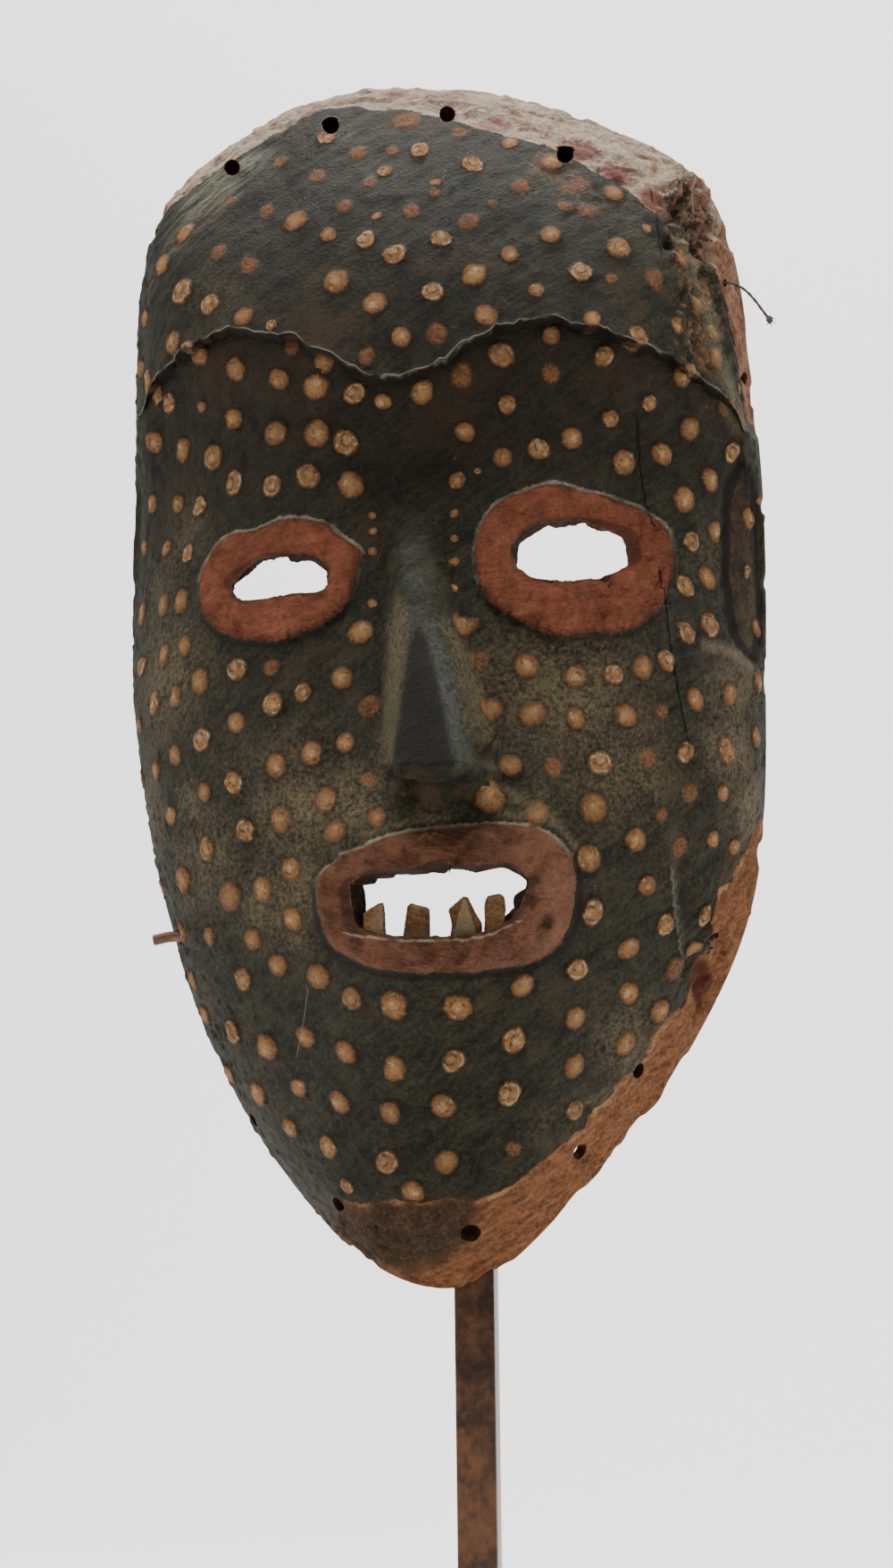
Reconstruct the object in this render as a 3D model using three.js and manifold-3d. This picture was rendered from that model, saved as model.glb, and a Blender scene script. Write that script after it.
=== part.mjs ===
import * as THREE from "three";
import { mergeVertices } from "three/addons/utils/BufferGeometryUtils.js";
import Module from "manifold-3d";

// A carved and painted wooden face mask, held up by a steel display stand.
// Millimetres, +Z up, the face looks along -Y, +X is the viewer's right.
// The origin is the middle of the underside of the stand's base.

// Stand
const baseSide = 130;
const baseThickness = 8;
const baseChamfer = 0.8;
const baseCorner = 2;
const postSide = 10;
const postCorner = 0.5;
const socketClearance = 0.3;
const socketFloor = 1.6;
const rodDiameter = 2.8;
const weldGap = 0.3;
const rodSides = 8;
const rodSteps = 28;

// Where the mask hangs: the middle of its rim plane, and its lean to the viewer's left
const maskPlace = [-2.6, 12, 268];
const maskLean = THREE.MathUtils.degToRad(2.9);

// Rim outline in the mask's own x and z, from the viewer's right over the top
const rimPoints = [
  [78, 0], [80.3, 64], [73, 125], [38, 151],
  [0, 162.5], [-38, 159], [-73, 132], [-82.8, 67],
  [-86, 0], [-78, -62], [-59, -111], [-32, -143.5],
  [-5, -151.3], [23, -130], [50, -98], [71, -57],
];
const rimWidth = 7.5;
const chinRimForward = 17.3;

// Dome of the face in front of the rim plane, and the roundness of its sections
const domeDepth = 58;
const innerDepth = 47;
const sideSection = { round: 2.1, edge: 1.8 };
const topSection = { round: 2.6, edge: 1.7 };
const chinSection = { round: 2.3, edge: 1.5 };
const innerFollow = { share: 0.6, fullAt: 0.3 };
const reachPower = 0.9;
const rimFade = 0.12;
const chinLiftFrom = 0.75;
const searchSteps = 40;

// Grid lines over the front, and half as many over the back; one row runs along the brow's edge
const gridAcross = 36;
const gridUp = 52;
const browRow = 37;
const browStepWidth = 1.4;
const browCrest = 0.2;

// Brow: a wavy edge with two arches, the forehead proud above it, the eyes set back below it
const brow = { middle: -5, dip: 72, proud: 3.5, fade: 26 };
const browLeft = { toPeak: 42, rise: 19, fall: 9, fallOver: 28 };
const browRight = { toPeak: 39, rise: 15, fall: 19, fallOver: 41 };
const orbit = { step: 3.2, depth: 8, fullAt: 22, endFrom: 34, endAt: 78 };
const glabella = { x: -3, z: 56, wide: 15, high: 20, depth: 4.5 };
const forehead = { x: -3, z: 100, wide: 55, high: 38, rise: 6 };

// Nose: a long wedge with a flat front, each line at its root and at its tip
const nose = {
  rootZ: 47, tipZ: -27, footLeft: [-6, -11], frontLeft: [-2.5, -7.7], frontRight: [-0.5, 4],
  footRight: [2, 13], rise: [0.8, 21], sections: 7, underside: 2.5, sink: 4,
};

// Raised flat rings round the eyes, and the openings in them
const eyes = [
  {
    x: -39, z: 25, halfX: 22.5, halfZ: 14.5, tilt: 8,
    hole: { x: -39.5, z: 24.5, halfX: 14, halfZ: 5.2, tilt: 4 },
  },
  {
    x: 34.5, z: 23, halfX: 23.5, halfZ: 18.2, tilt: -3,
    hole: { x: 36, z: 25, halfX: 14.5, halfZ: 7.2, tilt: -2 },
  },
];
const eyeRing = { proud: 2, slope: 1, square: 2.5, sides: 24 };
const eyeCut = { taper: 0.82, front: 66, back: 20, sides: 18 };
const ringSink = 3;
const ringLap = 1;

// Mouth: a raised flat ring on the muzzle, an opening and four teeth carved with the lower lip
const muzzle = { x: -1, z: -61, wide: 38, high: 34, rise: 12 };
const mouth = { x: -0.3, z: -60.5, halfX: 32, halfZ: 18, square: 3.2 };
const mouthRing = { proud: 4.5, slope: 1.6, sides: 32 };
const mouthHole = { x: -1.2, z: -60, halfX: 24.5, halfZ: 8.8 };
const mouthCut = { taper: 0.84, front: 84, back: 30, sides: 24 };
const mouthCutSquare = 3.4;
const toothSpan = { front: 62.5, back: 56, sink: 2, slant: 0.4, peakAt: 0.45 };
const teeth = [
  { left: -20.5, right: -15, leftTop: -62.2, rightTop: -60.2, base: -68 },
  { left: -11, right: -4.2, leftTop: -60.8, rightTop: -61.7, base: -68 },
  { left: 0.7, right: 8.6, leftTop: -61, rightTop: -61, peak: -59.6, base: -68 },
  { left: 9.4, right: 14.4, leftTop: -60.1, rightTop: -60.3, base: -67.5 },
];

// Cheeks, the worn step along the right of the jaw, the bare bands and the slot beside the right eye
const cheek = { x: 44, z: -8, wide: 24, high: 26, rise: 2.5 };
const jawStep = { x: 52.5, soft: 4, top: -50, bottom: -90, fade: 13, drop: 3 };
const bareBand = { reach: 0.76, soft: 0.02, drop: 2, middle: -68, half: 42, fade: 12 };
const slot = { x: 75, top: 60, bottom: 4, half: 4.6, floorHalf: 3, depth: 3.2, out: 4, endShare: 0.12 };
const slotSections = 8;

// Holes bored round the rim: turn in degrees from the viewer's right, and reach, 1 at the rim
const boreSides = 12;
const rimHoleBore = 4;
const chinHoleBore = 5.2;
const boreOut = 8;
const boreIn = 26;
const rimHoles = [
  { turn: 136, reach: 0.84 },
  { turn: 121.5, reach: 0.73 },
  { turn: 104.5, reach: 0.71 },
  { turn: 85, reach: 0.725 },
  { turn: 65, reach: 0.71 },
  { turn: 26.5, reach: 0.9 },
  { turn: -51.5, reach: 0.76 },
  { turn: -65, reach: 0.795 },
  { turn: -89, reach: 0.74, bore: chinHoleBore },
  { turn: -118.5, reach: 0.775 },
  { turn: -137, reach: 0.89 },
  { turn: 179, reach: 0.9 },
];

// Cradle rod: bent by hand, welded over the post, its left end proud of the mask's side
const rodRoute = [
  [-82, 0, 205.4], [-75, 0, 206.2], [-55, 0, 205], [-28, 0, 202],
  [0, 0, 200.4], [28, 0, 200.2], [61.5, 0, 201.4],
];
const rodHoleBore = 4.4;
const rodHoles = [
  { from: [-90, 0, 205], to: [-62, 0, 206.6] },
  { from: [62.5, 0, 201.5], to: [44, 0, 200.8] },
];

// Thread: out of the hollow through the right wall, then over and down
const threadDiameter = 0.7;
const threadSides = 8;
const threadSteps = 16;
const threadRoute = [
  [53, 2.2, 369.4], [57, 1.2, 370.2], [62, 0, 370.6], [67.8, -2, 370.5],
  [70.7, -3.2, 369.5], [72.9, -4.3, 367.8], [75.2, -5.4, 365.1], [77.4, -6.2, 361.8], [79.2, -6.8, 359.1],
];
const threadHoleBore = 1.9;
const threadHole = { from: [50, 3.4, 370.4], to: [76, -4.2, 370.5] };

const wasm = await Module();
wasm.setup();

const smoothStep = (from, to, value) => THREE.MathUtils.smoothstep(value, from, to);
const mix = THREE.MathUtils.lerp;
const mound = (x, z, m) => Math.exp(-(((x - m.x) / m.wide) ** 2) - ((z - m.z) / m.high) ** 2);

function browHeight(x) {
  const side = x < brow.middle ? browLeft : browRight;
  const away = Math.abs(x - brow.middle);
  if (away < side.toPeak) {
    return brow.dip + (side.rise * (1 - Math.cos((Math.PI * away) / side.toPeak))) / 2;
  }
  return brow.dip + side.rise - side.fall * ((away - side.toPeak) / side.fallOver) ** 2;
}

// Low forms that the inside of the mask follows too.
function lowForms(x, z) {
  const below = browHeight(x) - z;
  const set = below <= 0 ? 0 : mix(orbit.step, orbit.depth, smoothStep(0, orbit.fullAt, below));
  const orbitFall = set * (1 - smoothStep(orbit.endFrom, orbit.endAt, below));
  const cheeks = mound(Math.abs(x), z, cheek) * cheek.rise;
  return forehead.rise * mound(x, z, forehead) + muzzle.rise * mound(x, z, muzzle) + cheeks
    - orbitFall - glabella.depth * mound(x, z, glabella);
}

// Edge of the forehead, the worn step of the jaw and the bare band along the lower right rim.
function edges(x, z, turn, reach) {
  const above = z - browHeight(x);
  const browEdge = above > 0 ? brow.proud * Math.exp(-above / brow.fade) : 0;
  const jaw = jawStep.drop * smoothStep(0, jawStep.soft, x - jawStep.x)
    * smoothStep(jawStep.bottom, jawStep.bottom + jawStep.fade, z)
    * (1 - smoothStep(jawStep.top, jawStep.top + jawStep.fade, z));
  const away = Math.abs(THREE.MathUtils.radToDeg(turn) - bareBand.middle);
  const bare = bareBand.drop * (1 - smoothStep(bareBand.half - bareBand.fade, bareBand.half, away))
    * smoothStep(bareBand.reach - bareBand.soft, bareBand.reach + bareBand.soft, reach);
  return browEdge - Math.max(jaw, bare);
}

const rimCurve = new THREE.CatmullRomCurve3(
  rimPoints.map(([x, z]) => new THREE.Vector3(x, 0, z)), true, "catmullrom", 0.5,
);

// Forms fade away at the very rim.
const rimHold = (reach) => smoothStep(0, rimFade, 1 - reach);

// Height of a dome over the rim outline, for a turn round it and a spread from 0 at its middle to 1.
function domeForward(turn, spread, depth) {
  const up = Math.max(Math.sin(turn), 0) ** 2;
  const down = Math.max(-Math.sin(turn), 0) ** 2;
  const round = mix(sideSection.round, topSection.round, up) + (chinSection.round - sideSection.round) * down;
  const edge = mix(sideSection.edge, topSection.edge, up) + (chinSection.edge - sideSection.edge) * down;
  const rimForward = chinRimForward * smoothStep(chinLiftFrom, 1, -Math.sin(turn));
  return rimForward + (depth - rimForward) * Math.max(1 - spread ** round, 0) ** (1 / edge);
}

// Place on a dome for a point of a square from -1 to 1, laid over the rim outline as a disc.
function domePoint(a, b, inset, depth) {
  const discX = a * Math.sqrt(1 - (b * b) / 2);
  const discZ = b * Math.sqrt(1 - (a * a) / 2);
  return turnedPoint(Math.atan2(discZ, discX), Math.min(Math.hypot(discX, discZ), 1), inset, depth);
}

function turnedPoint(turn, reach, inset, depth) {
  const spread = Math.sin((reach * Math.PI) / 2) ** reachPower;
  const rim = rimAt(turn);
  const scale = spread * (1 - inset / rim.length());
  return { x: rim.x * scale, z: rim.z * scale, forward: domeForward(turn, spread, depth), turn, reach };
}

function rimAt(turn) {
  return rimCurve.getPoint((turn / (2 * Math.PI) + 1) % 1);
}

// Height of the face, without its edges, over a place in the rim plane.
function faceHeight(x, z) {
  const wanted = Math.atan2(z, x);
  let turn = wanted;
  for (let k = 0; k < searchSteps; k++) {
    const rim = rimAt(turn);
    const miss = wanted - Math.atan2(rim.z, rim.x);
    turn += Math.atan2(Math.sin(miss), Math.cos(miss)) / 2;
  }
  const spread = Math.min(Math.hypot(x, z) / rimAt(turn).length(), 1);
  const reach = (2 * Math.asin(spread ** (1 / reachPower))) / Math.PI;
  return domeForward(turn, spread, domeDepth) + rimHold(reach) * lowForms(x, z);
}

// The share of a grid column at which the face lies a given height over the brow's edge.
function browShare(a, over) {
  let low = -1;
  let high = 1;
  for (let k = 0; k < searchSteps; k++) {
    const middle = (low + high) / 2;
    const p = domePoint(a, middle, 0, domeDepth);
    if (p.z < browHeight(p.x) + over) low = middle;
    else high = middle;
  }
  return low;
}

function frontPoint(i, j) {
  const a = (2 * i) / gridAcross - 1;
  const foot = browShare(a, -browStepWidth);
  const crest = browShare(a, browCrest);
  const b = j <= browRow
    ? mix(-1, foot, j / browRow)
    : mix(crest, 1, (j - browRow - 1) / (gridUp - browRow - 1));
  const p = domePoint(a, b, 0, domeDepth);
  const raised = lowForms(p.x, p.z) + edges(p.x, p.z, p.turn, p.reach);
  return [p.x, -(p.forward + rimHold(p.reach) * raised), p.z];
}

function backPoint(i, j) {
  const p = domePoint((4 * i) / gridAcross - 1, (4 * j) / gridUp - 1, rimWidth, innerDepth);
  const held = innerFollow.share * smoothStep(0, innerFollow.fullAt, 1 - p.reach);
  return [p.x, -(p.forward + held * lowForms(p.x, p.z)), p.z];
}

function gridPoints(across, up, place) {
  const points = [];
  for (let j = 0; j <= up; j++) {
    for (let i = 0; i <= across; i++) points.push(place(i, j));
  }
  return points;
}

function gridFaces(across, up, first, flip) {
  const faces = [];
  for (let j = 0; j < up; j++) {
    for (let i = 0; i < across; i++) {
      const a = first + j * (across + 1) + i;
      const d = a + across + 1;
      const pair = [[a, a + 1, d + 1], [a, d + 1, d]];
      pair.forEach((f) => faces.push(...(flip ? f.reverse() : f)));
    }
  }
  return faces;
}

// The border of a grid, counter-clockwise as seen from the front.
function gridBorder(across, up, first) {
  const row = across + 1;
  const loop = [];
  for (let i = 0; i < across; i++) loop.push(first + i);
  for (let j = 0; j < up; j++) loop.push(first + j * row + across);
  for (let i = across; i > 0; i--) loop.push(first + up * row + i);
  for (let j = up; j > 0; j--) loop.push(first + j * row);
  return loop;
}

function solidFrom(points, faces) {
  const geometry = new THREE.BufferGeometry();
  geometry.setAttribute("position", new THREE.Float32BufferAttribute(points.flat(), 3));
  geometry.setIndex(faces);
  return toSolid(geometry);
}

function toSolid(source) {
  const geometry = source.clone();
  geometry.deleteAttribute("normal");
  geometry.deleteAttribute("uv");
  const merged = mergeVertices(geometry, 1e-4);
  return new wasm.Manifold(new wasm.Mesh({
    numProp: 3,
    vertProperties: merged.attributes.position.array,
    triVerts: new Uint32Array(merged.index.array),
  }));
}

function toGeometry(solid) {
  const mesh = solid.getMesh();
  const geometry = new THREE.BufferGeometry();
  geometry.setAttribute("position", new THREE.BufferAttribute(mesh.vertProperties, 3));
  geometry.setIndex(new THREE.BufferAttribute(mesh.triVerts, 1));
  geometry.computeVertexNormals();
  return geometry;
}

function maskShell() {
  const front = gridPoints(gridAcross, gridUp, frontPoint);
  const back = gridPoints(gridAcross / 2, gridUp / 2, backPoint);
  const faces = [
    ...gridFaces(gridAcross, gridUp, 0, false),
    ...gridFaces(gridAcross / 2, gridUp / 2, front.length, true),
  ];
  const outer = gridBorder(gridAcross, gridUp, 0);
  const inner = gridBorder(gridAcross / 2, gridUp / 2, front.length);
  for (let k = 0; k < inner.length; k++) {
    const f0 = outer[2 * k];
    const f1 = outer[2 * k + 1];
    const f2 = outer[(2 * k + 2) % outer.length];
    const b0 = inner[k];
    const b1 = inner[(k + 1) % inner.length];
    faces.push(f1, f0, b0, f1, b0, b1, f2, f1, b1);
  }
  return solidFrom([...front, ...back], faces);
}

// A closed solid through rings of equal counts, each a list of points, the first one at the back.
function loft(rings) {
  const count = rings[0].length;
  const faces = [];
  for (let r = 0; r + 1 < rings.length; r++) {
    for (let k = 0; k < count; k++) {
      const a = r * count + k;
      const b = r * count + ((k + 1) % count);
      faces.push(a, b, b + count, a, b + count, a + count);
    }
  }
  const last = (rings.length - 1) * count;
  for (let k = 1; k + 1 < count; k++) faces.push(0, k + 1, k, last, last + k, last + k + 1);
  return solidFrom(rings.flat(), faces);
}

// A point of a tilted, squared oval, grown or shrunk by a width.
function ovalPoint(oval, square, turn, grown) {
  const tilt = THREE.MathUtils.degToRad(oval.tilt ?? 0);
  const c = Math.cos(turn);
  const s = Math.sin(turn);
  const across = Math.sign(c) * Math.abs(c) ** (2 / square) * (oval.halfX + grown);
  const up = Math.sign(s) * Math.abs(s) ** (2 / square) * (oval.halfZ + grown);
  const x = oval.x + across * Math.cos(tilt) - up * Math.sin(tilt);
  return [x, oval.z + across * Math.sin(tilt) + up * Math.cos(tilt)];
}

function ovalRing(oval, square, scale, forward, count) {
  const sized = { ...oval, halfX: oval.halfX * scale, halfZ: oval.halfZ * scale };
  return Array.from({ length: count }, (_, k) => {
    const [x, z] = ovalPoint(sized, square, (2 * Math.PI * k) / count, 0);
    return [x, -forward, z];
  });
}

// A flat raised band between an oval's line and the opening inside it.
function raisedRing(oval, square, hole, ring) {
  const points = [];
  const faces = [];
  for (let k = 0; k < ring.sides; k++) {
    const turn = (2 * Math.PI * k) / ring.sides;
    const lines = [
      [ovalPoint(oval, square, turn, ring.slope), -ringSink],
      [ovalPoint(oval, square, turn, 0), ring.proud],
      [ovalPoint(hole, square, turn, -ringLap), ring.proud],
      [ovalPoint(hole, square, turn, -ringLap), -ringSink],
    ];
    for (const [[x, z], over] of lines) points.push([x, -(faceHeight(x, z) + over), z]);
    const next = (k + 1) % ring.sides;
    for (let e = 0; e < lines.length; e++) {
      const f = (e + 1) % lines.length;
      const a = 4 * k + e;
      const b = 4 * k + f;
      const c = 4 * next + f;
      const d = 4 * next + e;
      faces.push(a, d, c, a, c, b);
    }
  }
  return solidFrom(points, faces);
}

function noseWedge() {
  const rings = [];
  for (let k = 0; k <= nose.sections; k++) {
    const t = Math.min(k / (nose.sections - 1), 1);
    const under = k === nose.sections;
    const z = mix(nose.rootZ, nose.tipZ, t) - (under ? nose.underside : 0);
    const rise = under ? 0 : mix(...nose.rise, t ** 0.9);
    const at = (line) => mix(...line, t);
    const height = (x, over) => -(faceHeight(x, z) + over);
    const profile = [
      [nose.footRight, -nose.sink], [nose.footRight, 0], [nose.frontRight, rise],
      [nose.frontLeft, rise], [nose.footLeft, 0], [nose.footLeft, -nose.sink],
    ];
    rings.push(profile.map(([line, over]) => [at(line), height(at(line), over), z]));
  }
  return loft(rings);
}

// Groove along the side, cut square to the face and shallow at both ends.
function slotCutter() {
  const rings = [];
  for (let k = 0; k <= slotSections; k++) {
    const t = k / slotSections;
    const z = mix(slot.bottom, slot.top, t);
    const slope = faceHeight(slot.x + 0.5, z) - faceHeight(slot.x - 0.5, z);
    const along = new THREE.Vector2(1, slope).normalize();
    const out = new THREE.Vector2(-along.y, along.x);
    const depth = slot.depth * Math.sqrt(Math.sin(Math.PI * mix(slot.endShare, 1 - slot.endShare, t)));
    const at = (across, deep) => {
      const p = new THREE.Vector2(slot.x, faceHeight(slot.x, z));
      p.addScaledVector(along, across).addScaledVector(out, deep);
      return [p.x, -p.y, z];
    };
    rings.push([
      at(-slot.half, slot.out), at(slot.half, slot.out),
      at(slot.floorHalf, -depth), at(-slot.floorHalf, -depth),
    ]);
  }
  return loft(rings);
}

// Opening that narrows from the face to the hollow.
function openingCutter(oval, square, cut) {
  return loft([
    ovalRing(oval, square, cut.taper, cut.back, cut.sides),
    ovalRing(oval, square, 1, cut.front, cut.sides),
  ]);
}

// Round cutter along a line from one point to another.
function boreCutter(from, to, diameter) {
  const a = new THREE.Vector3(...from);
  const b = new THREE.Vector3(...to);
  const geometry = new THREE.CylinderGeometry(diameter / 2, diameter / 2, a.distanceTo(b), boreSides);
  geometry.applyQuaternion(
    new THREE.Quaternion().setFromUnitVectors(new THREE.Vector3(0, 1, 0), b.clone().sub(a).normalize()),
  );
  geometry.translate(...a.clone().add(b).multiplyScalar(0.5).toArray());
  return toSolid(geometry);
}

// Cutter for a rim hole, square to the face but turned half way to the front.
function rimHoleCutter(hole) {
  const turn = THREE.MathUtils.degToRad(hole.turn);
  const at = (t, r) => {
    const p = turnedPoint(t, r, 0, domeDepth);
    return new THREE.Vector3(p.x, -p.forward, p.z);
  };
  const here = at(turn, hole.reach);
  const round = at(turn + 0.02, hole.reach).sub(here);
  const outward = at(turn, Math.min(hole.reach + 0.02, 1)).sub(here);
  const way = outward.cross(round).normalize().add(new THREE.Vector3(0, -0.5, 0)).normalize();
  const from = here.clone().addScaledVector(way, -boreIn);
  return boreCutter(from.toArray(), here.addScaledVector(way, boreOut).toArray(), hole.bore ?? rimHoleBore);
}

function tooth(spec) {
  const outline = new THREE.Shape();
  const foot = spec.base - toothSpan.sink;
  outline.moveTo(spec.left, foot);
  outline.lineTo(spec.right, foot);
  outline.lineTo(spec.right - toothSpan.slant, spec.rightTop);
  if (spec.peak) outline.lineTo(mix(spec.left, spec.right, toothSpan.peakAt), spec.peak);
  outline.lineTo(spec.left + toothSpan.slant, spec.leftTop);
  outline.closePath();
  const geometry = new THREE.ExtrudeGeometry(outline, {
    depth: toothSpan.front - toothSpan.back, bevelEnabled: false,
  });
  geometry.translate(0, 0, toothSpan.back).rotateX(Math.PI / 2);
  return toSolid(geometry);
}

function buildMask(toMask) {
  let solid = maskShell().add(noseWedge()).add(raisedRing(mouth, mouth.square, mouthHole, mouthRing));
  for (const eye of eyes) {
    solid = solid.add(raisedRing(eye, eyeRing.square, eye.hole, eyeRing));
    solid = solid.subtract(openingCutter(eye.hole, eyeRing.square, eyeCut));
  }
  solid = solid.subtract(openingCutter(mouthHole, mouthCutSquare, mouthCut));
  for (const spec of teeth) solid = solid.add(tooth(spec));
  solid = solid.subtract(slotCutter());
  for (const hole of rimHoles) solid = solid.subtract(rimHoleCutter(hole));
  for (const hole of rodHoles) {
    solid = solid.subtract(boreCutter(toMask(hole.from), toMask(hole.to), rodHoleBore));
  }
  return solid.subtract(boreCutter(toMask(threadHole.from), toMask(threadHole.to), threadHoleBore));
}

function roundBar(route, diameter, sides, steps) {
  const section = new THREE.Shape().absarc(0, 0, diameter / 2, 0, 2 * Math.PI);
  const path = new THREE.CatmullRomCurve3(route.map((p) => new THREE.Vector3(...p)));
  return new THREE.ExtrudeGeometry(section, { extrudePath: path, steps, curveSegments: sides / 2 });
}

function squareShape(side, corner) {
  const half = side / 2;
  const outline = new THREE.Shape();
  for (const [x, y] of [[1, 1], [-1, 1], [-1, -1], [1, -1]]) {
    const first = x === y ? [half * x, (half - corner) * y] : [(half - corner) * x, half * y];
    const second = x === y ? [(half - corner) * x, half * y] : [half * x, (half - corner) * y];
    if (outline.curves.length || outline.currentPoint.length()) outline.lineTo(...first);
    else outline.moveTo(...first);
    outline.lineTo(...second);
  }
  outline.closePath();
  return outline;
}

function buildBase() {
  const plate = new THREE.ExtrudeGeometry(squareShape(baseSide - 2 * baseChamfer, baseCorner), {
    depth: baseThickness - 2 * baseChamfer,
    bevelThickness: baseChamfer,
    bevelSize: baseChamfer,
    bevelSegments: 1,
  });
  plate.translate(0, 0, baseChamfer);
  const socketSide = postSide + 2 * socketClearance;
  const socket = new THREE.BoxGeometry(socketSide, socketSide, baseThickness);
  socket.translate(0, 0, socketFloor + baseThickness / 2);
  return toGeometry(toSolid(plate).subtract(toSolid(socket)));
}

function buildPost() {
  const foot = socketFloor + weldGap;
  const top = Math.min(...rodRoute.map((p) => p[2])) - rodDiameter / 2 - weldGap;
  const section = squareShape(postSide, postCorner);
  return new THREE.ExtrudeGeometry(section, { depth: top - foot, bevelEnabled: false }).translate(0, 0, foot);
}

function part(name, geometry, color, roughness, metalness) {
  const mesh = new THREE.Mesh(geometry, new THREE.MeshStandardMaterial({ color, roughness, metalness }));
  mesh.name = name;
  return mesh;
}

const hung = new THREE.Group();
hung.position.set(...maskPlace);
hung.rotation.y = -maskLean;
hung.updateMatrixWorld(true);
const toMask = (point) => hung.worldToLocal(new THREE.Vector3(...point)).toArray();
hung.add(part("mask", toGeometry(buildMask(toMask)), 0x3e3c36, 0.8, 0));

const rod = roundBar(rodRoute, rodDiameter, rodSides, rodSteps);
const thread = roundBar(threadRoute, threadDiameter, threadSides, threadSteps);

const maskOnStand = new THREE.Group();
maskOnStand.add(hung);
maskOnStand.add(part("stand_base", buildBase(), 0x3a2a1e, 0.45, 0.8));
maskOnStand.add(part("stand_post", buildPost(), 0x3e2616, 0.4, 0.8));
maskOnStand.add(part("cradle_rod", rod, 0x3a2820, 0.5, 0.6));
maskOnStand.add(part("thread", thread, 0x2a2826, 0.9, 0));

export default maskOnStand;
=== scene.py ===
import itertools
import math

import bpy
import numpy as np
from mathutils import Matrix, Vector
from mathutils.bvhtree import BVHTree


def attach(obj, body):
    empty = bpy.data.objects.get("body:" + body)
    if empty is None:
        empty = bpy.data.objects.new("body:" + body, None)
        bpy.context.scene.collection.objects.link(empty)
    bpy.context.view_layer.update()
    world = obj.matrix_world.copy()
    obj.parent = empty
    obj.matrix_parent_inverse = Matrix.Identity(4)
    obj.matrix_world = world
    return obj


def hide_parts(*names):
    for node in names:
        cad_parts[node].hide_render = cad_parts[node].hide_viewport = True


# A carved wooden face mask, painted dark with dabbed ochre dots, on a steel stand.
# Shapes are worked out in millimetres and placed in metres, +Z up, the face looks along -Y.

mm = 0.001
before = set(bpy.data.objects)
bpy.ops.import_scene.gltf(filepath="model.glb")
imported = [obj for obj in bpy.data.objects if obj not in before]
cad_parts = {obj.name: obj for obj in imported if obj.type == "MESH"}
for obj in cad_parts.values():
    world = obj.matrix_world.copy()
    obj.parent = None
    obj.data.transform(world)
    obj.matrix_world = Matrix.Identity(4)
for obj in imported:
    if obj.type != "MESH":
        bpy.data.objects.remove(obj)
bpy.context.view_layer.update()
print("stage: frame loaded")

# The view: a long lens, a little below the face and to its right. The picture is 1000 x 1755.
shot = {
    "azimuth": 7.5, "elevation": -8.0, "roll": 0.7,      # degrees
    "distance": 1.130, "aim": (-0.006, 0.0, 0.2434),     # metres
    "lens": 101.9, "sensor": 36.0, "width": 1000, "height": 1755,
}


def shotAxes():
    a, e, r = (math.radians(shot[k]) for k in ("azimuth", "elevation", "roll"))
    back = Vector((math.sin(a) * math.cos(e), -math.cos(a) * math.cos(e), math.sin(e)))
    right = Vector((math.cos(a), math.sin(a), 0))
    up = back.cross(right)
    return right * math.cos(r) - up * math.sin(r), up * math.cos(r) + right * math.sin(r), back


def makeCamera():
    right, up, back = shotAxes()
    bpy.ops.object.camera_add()
    camera = bpy.context.object
    camera.name = "camera"
    eye = Vector(shot["aim"]) + back * shot["distance"]
    camera.matrix_world = Matrix.Translation(eye) @ Matrix((right, up, back)).transposed().to_4x4()
    camera.data.sensor_fit = "VERTICAL"
    camera.data.sensor_height = shot["sensor"]
    camera.data.sensor_width = shot["sensor"]
    camera.data.lens = shot["lens"]
    camera.data.clip_start = 0.05
    bpy.context.scene.camera = camera


# Where the line of sight through a spot of the picture starts, and its direction
def sightLine(spot):
    right, up, back = shotAxes()
    focal = shot["lens"] / shot["sensor"] * shot["height"]
    across = (spot[0] - shot["width"] / 2) / focal
    above = (shot["height"] / 2 - spot[1]) / focal
    eye = Vector(shot["aim"]) + back * shot["distance"]
    return eye, (right * across + up * above - back).normalized()


makeCamera()

# Shader maths reads as maths: a Wire is a socket, and operators on it add Math nodes


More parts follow.
